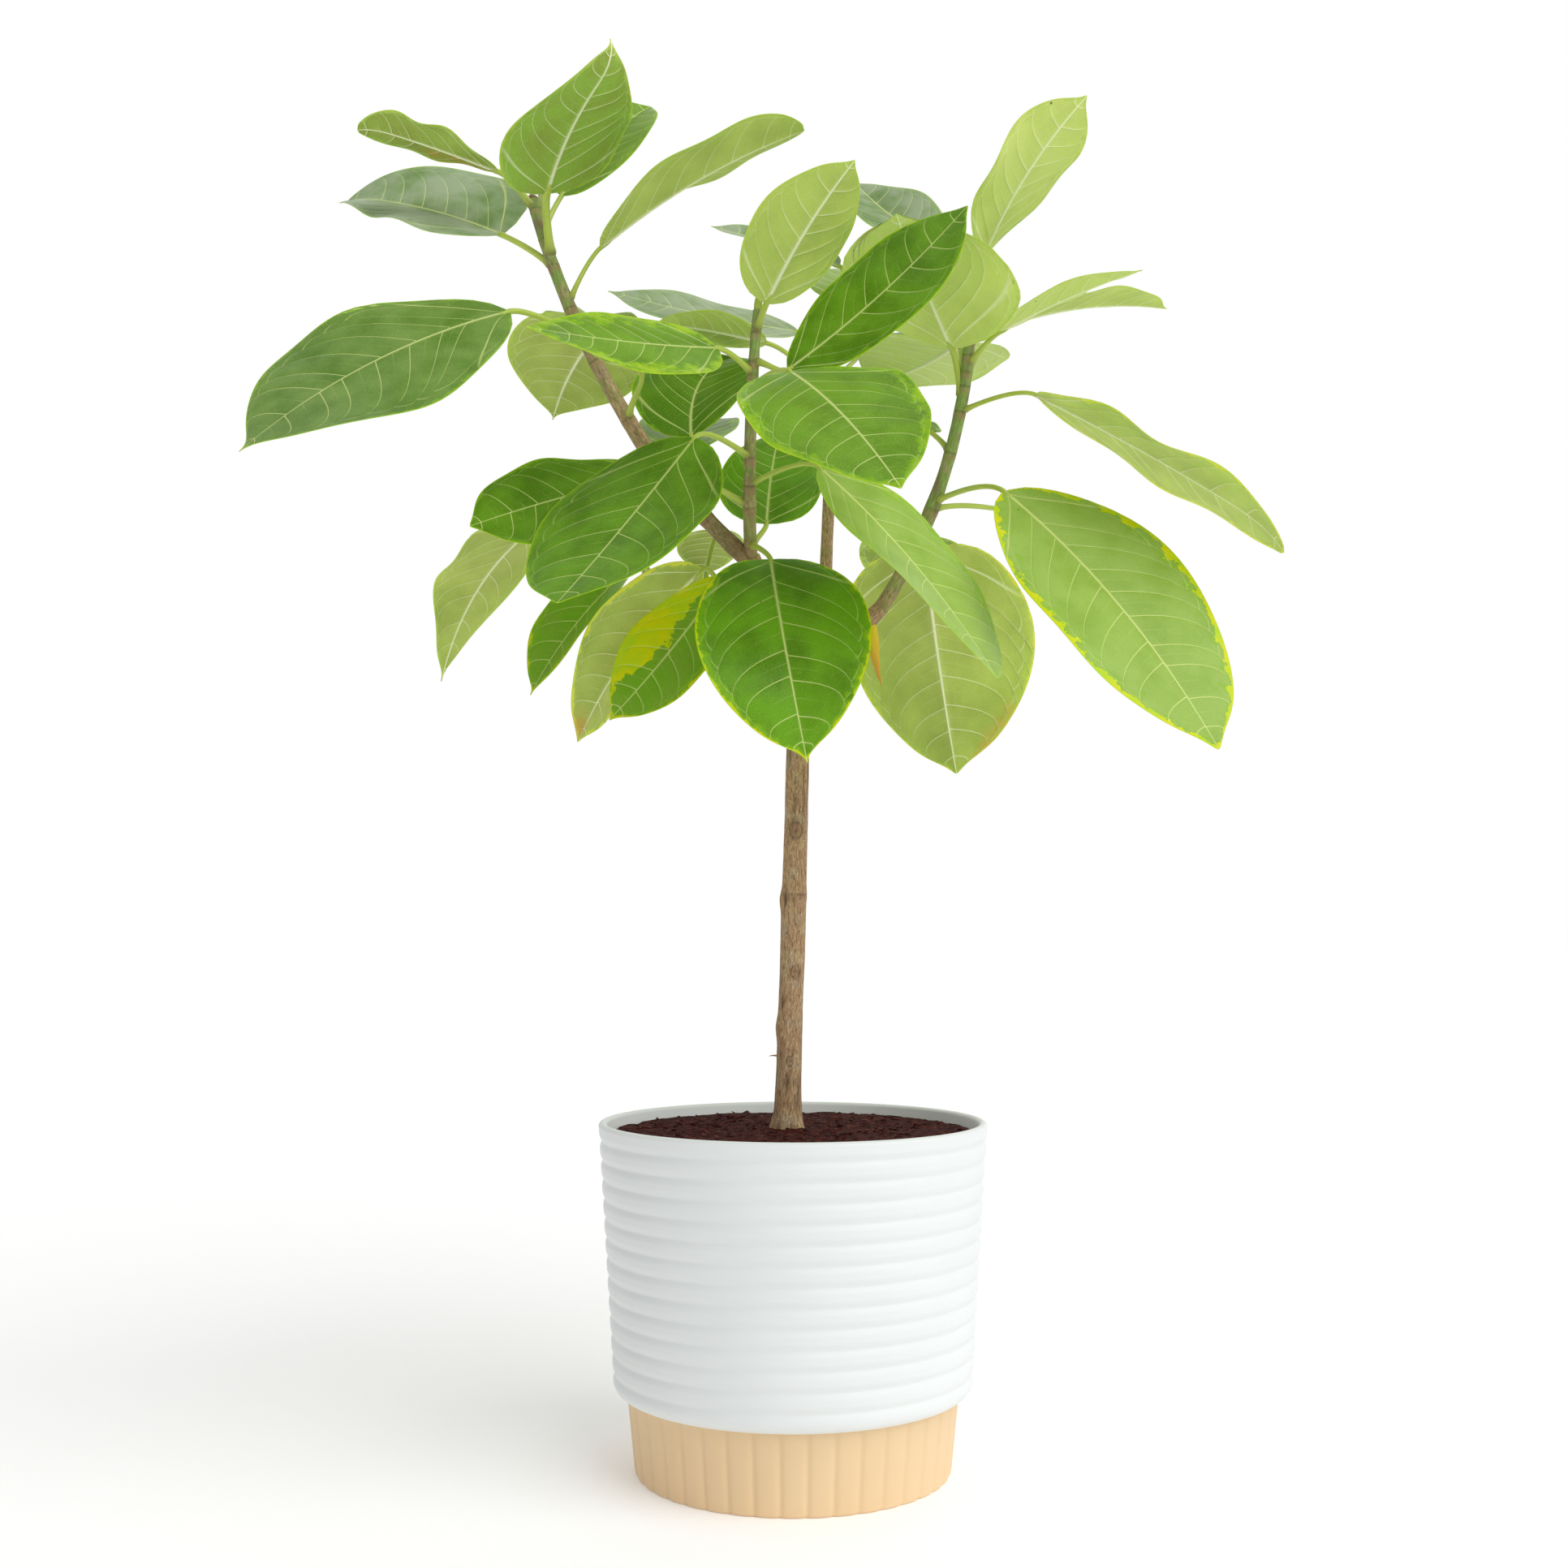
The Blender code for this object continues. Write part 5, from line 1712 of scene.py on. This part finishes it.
@dataclass(frozen=True)
class Studio:
    """Pale floor, bright surroundings, one soft high light from the right, and the photograph's camera."""

    camera_place: tuple[float, float, float] = (-0.0059, -1.2, 0.352)
    camera_pitch: float = 4.6
    lens: float = 41.0
    floor_radius: float = 30.0
    dim_side: float = 0.40
    bright_side: float = 0.66
    backdrop: float = 1.0
    light_from: tuple[float, float, float] = (0.55, -0.50, 0.70)
    light_power: float = 1.55
    light_spread: float = 55.0
    sensor: float = 36.0
    floor_colour: str = "#f8f8f7"
    floor_glow: float = 0.15
    floor_roughness: float = 0.9

    def surroundings(self) -> None:
        """Light the scene from all sides by direction: dim on the left, bright on the right, white behind."""
        world = bpy.data.worlds.new("studio surroundings")
        bpy.context.scene.world = world
        world.use_nodes = True
        tree = world.node_tree
        place = add_node(tree, "TexCoord", {}, "Generated")
        parts = add_node(tree, "SeparateXYZ", {"Vector": place}).node.outputs
        side = add_node(tree, "MapRange", {"Value": parts["X"], "From Min": -0.9, "From Max": 0.9,
                                           "To Min": self.dim_side, "To Max": self.bright_side},
                        interpolation_type="SMOOTHSTEP")
        behind = add_node(tree, "MapRange", {"Value": parts["Y"], "From Min": 0.35, "From Max": 0.80},
                          interpolation_type="SMOOTHSTEP")
        level = add_node(tree, "Mix", {"Factor": behind, "A": side, "B": self.backdrop}, data_type="FLOAT")
        background = tree.nodes["Background"]
        background.inputs["Color"].default_value = (1, 1, 1, 1)
        tree.links.new(level, background.inputs["Strength"])

    def floor(self) -> None:
        """Lay the pale floor, one round face with matt paint that glows faintly so that it stays pale."""
        ring = turned(np.array([[self.floor_radius]]), np.zeros((1, 1)), circle(96))[0]
        mesh = bpy.data.meshes.new("floor")
        mesh.from_pydata(ring.tolist(), [], [list(range(len(ring)))])
        paint = bpy.data.materials.new("pale matt floor")
        paint.use_nodes = True
        shader = paint.node_tree.nodes["Principled BSDF"]
        shader.inputs["Base Color"].default_value = linear(self.floor_colour)
        shader.inputs["Roughness"].default_value = self.floor_roughness
        shader.inputs["Emission Color"].default_value = (1, 1, 1, 1)
        shader.inputs["Emission Strength"].default_value = self.floor_glow
        mesh.materials.append(paint)
        made = bpy.data.objects.new("floor", mesh)
        bpy.context.scene.collection.objects.link(made)

    def light(self) -> None:
        """Hang one soft light that shines from its direction towards the plant."""
        light = bpy.data.lights.new("soft high light", "SUN")
        light.energy, light.angle = self.light_power, math.radians(self.light_spread)
        hung = bpy.data.objects.new("soft high light", light)
        back = to_unit(np.array(self.light_from))
        hung.rotation_euler = (math.acos(back[2]), 0, math.atan2(back[1], back[0]) + math.pi / 2)
        bpy.context.scene.collection.objects.link(hung)

    def camera(self) -> None:
        """Set up the camera in front of the plant, tilted up a little, and make it the scene's."""
        camera = bpy.data.cameras.new("camera")
        camera.lens, camera.sensor_width = self.lens, self.sensor
        seen_from = bpy.data.objects.new("camera", camera)
        seen_from.location = self.camera_place
        seen_from.rotation_euler = (math.radians(90 + self.camera_pitch), 0, 0)
        bpy.context.scene.collection.objects.link(seen_from)
        bpy.context.scene.camera = seen_from

    def build(self) -> None:
        """Set up surroundings, floor, light and camera."""
        bpy.context.scene.view_settings.view_transform = "Standard"
        self.surroundings()
        self.floor()
        self.light()
        self.camera()


# The small pieces that the limbs and masses carry

BUDS = {"left_foliage": Sprig(7 * MM, 3.9 * MM, brown=0.5), "centre_foliage": Sprig(20 * MM, 2.6 * MM),
        "right_foliage": Sprig(8 * MM, 4.0 * MM, brown=0.3), "back_foliage": Sprig(12 * MM, 3.0 * MM),
        "low_foliage": Sprig(9 * MM, 2.8 * MM)}
DEAD_TWIG = Sprig(9 * MM, 0.9 * MM, belly=0, droop=35, brown=0.25)
SHEATH = Sprig(46 * MM, 3.7 * MM, belly=0.5, droop=-14)
TRUNK_KNOTS = (Knot(0.150, -86, 2.3 * MM, 0.4 * MM), Knot(0.222, 182, 4.2 * MM, 1.5 * MM, eye=0),
               Knot(0.348, -72, 3.2 * MM, 0.3 * MM), Knot(0.505, 182, 3.6 * MM, 1.5 * MM, eye=0),
               Knot(0.664, -90, 4.0 * MM, 0.9 * MM), Knot(0.44, 60, 3.4 * MM, 0.9 * MM),
               Knot(0.80, 110, 3.2 * MM, 0.8 * MM))
TRUNK_RINGS = (0.52,)
BOUGH_RINGS = (0.22, 0.50, 0.78)
TWIG_SHARE = 0.157
SHEATH_SHARE = 0.90


def build_limbs(axes: dict[str, np.ndarray], bark: bpy.types.Material, sheath: bpy.types.Material) -> None:
    """Build the trunk with its dead twig and each bough, one with the sheath of a fallen leaf bud.

    Args:
        axes: the limbs' axes by name.
        bark: their finish.
        sheath: the hanging sheath's finish.
    """
    for number, (name, limb) in enumerate(LIMBS.items()):
        if name in LEAVES:
            continue
        knots, rings = (TRUNK_KNOTS, TRUNK_RINGS) if name == "trunk" else ((), BOUGH_RINGS)
        BarkedLimb(name, axes[name], limb, 11 * number + 3, knots=knots, ring_shares=rings).build(bark)
    twig_foot = place_on(axes["trunk"], TWIG_SHARE)[0] + 5 * MM * direction(180, 0)
    DEAD_TWIG.surface(twig_foot, direction(180, 20)).piece("trunk_twig", "bark", ("trunk",), [bark])
    sheath_foot = place_on(axes["right_bough"], SHEATH_SHARE)[0] - np.array([0, 0, 3 * MM])
    SHEATH.surface(sheath_foot, direction(8, -88)).piece("bough_sheath", "leaf", ("right_bough",), [sheath])


def main() -> None:
    """Build the studio and the pieces in order."""
    logging.basicConfig(level=logging.INFO, format="%(message)s")
    Studio().build()
    Planter.from_frame().build(MouldedPlastic("matt white polypropylene", 0.48).make())
    FlutedBase.from_frame().build(MouldedPlastic("matt sand polypropylene", 0.52, colour="#ebcea4",
                                                 shade="#e5c597").make())
    Soil.from_frame().build(PottingMix("moist coir potting mix", 0.95, specular=0.1).make())
    bark = Bark("young ficus bark", 0.78, specular=0.3).make()
    skin = StalkSkin("waxy leaf stalk", 0.42, specular=0.4).make()
    sheath = StalkSkin("papery bud sheath", 0.6, specular=0.3, pale="#e6d331", green="#d3ae28",
                       foot="#cf8743").make()
    upper = LeafSkin("waxy upper leaf skin", 0.34, specular=0.15, glow=0.15)
    # The lower skin's grey-green sheen colour is a painted reflection too.
    under = LeafSkin("matt lower leaf skin", 0.65, specular=0.10, glow=0.45, glow_reach=1.5 * MM,
                     deep="#97a048", bright="#ccd975", lively="#8fc23c", fresh="#b3c858", lime="#cbd860",
                     gold="#dedb50", bloom="#bcc69a", vein="#eef2ca", scorch="#c9a056", vein_strength=1.0,
                     net_strength=0.10, net_relief=0.12 * MM)
    sides = [upper.make(), under.make()]
    axes = grow_limbs()
    build_limbs(axes, bark, sheath)
    for number, (name, leaves) in enumerate(LEAVES.items(), 1):
        FoliageMass(name, axes[name], LIMBS[name], leaves, 40 * number, BUDS[name]).build(bark, skin, sides)


if __name__ == "__main__":
    main()
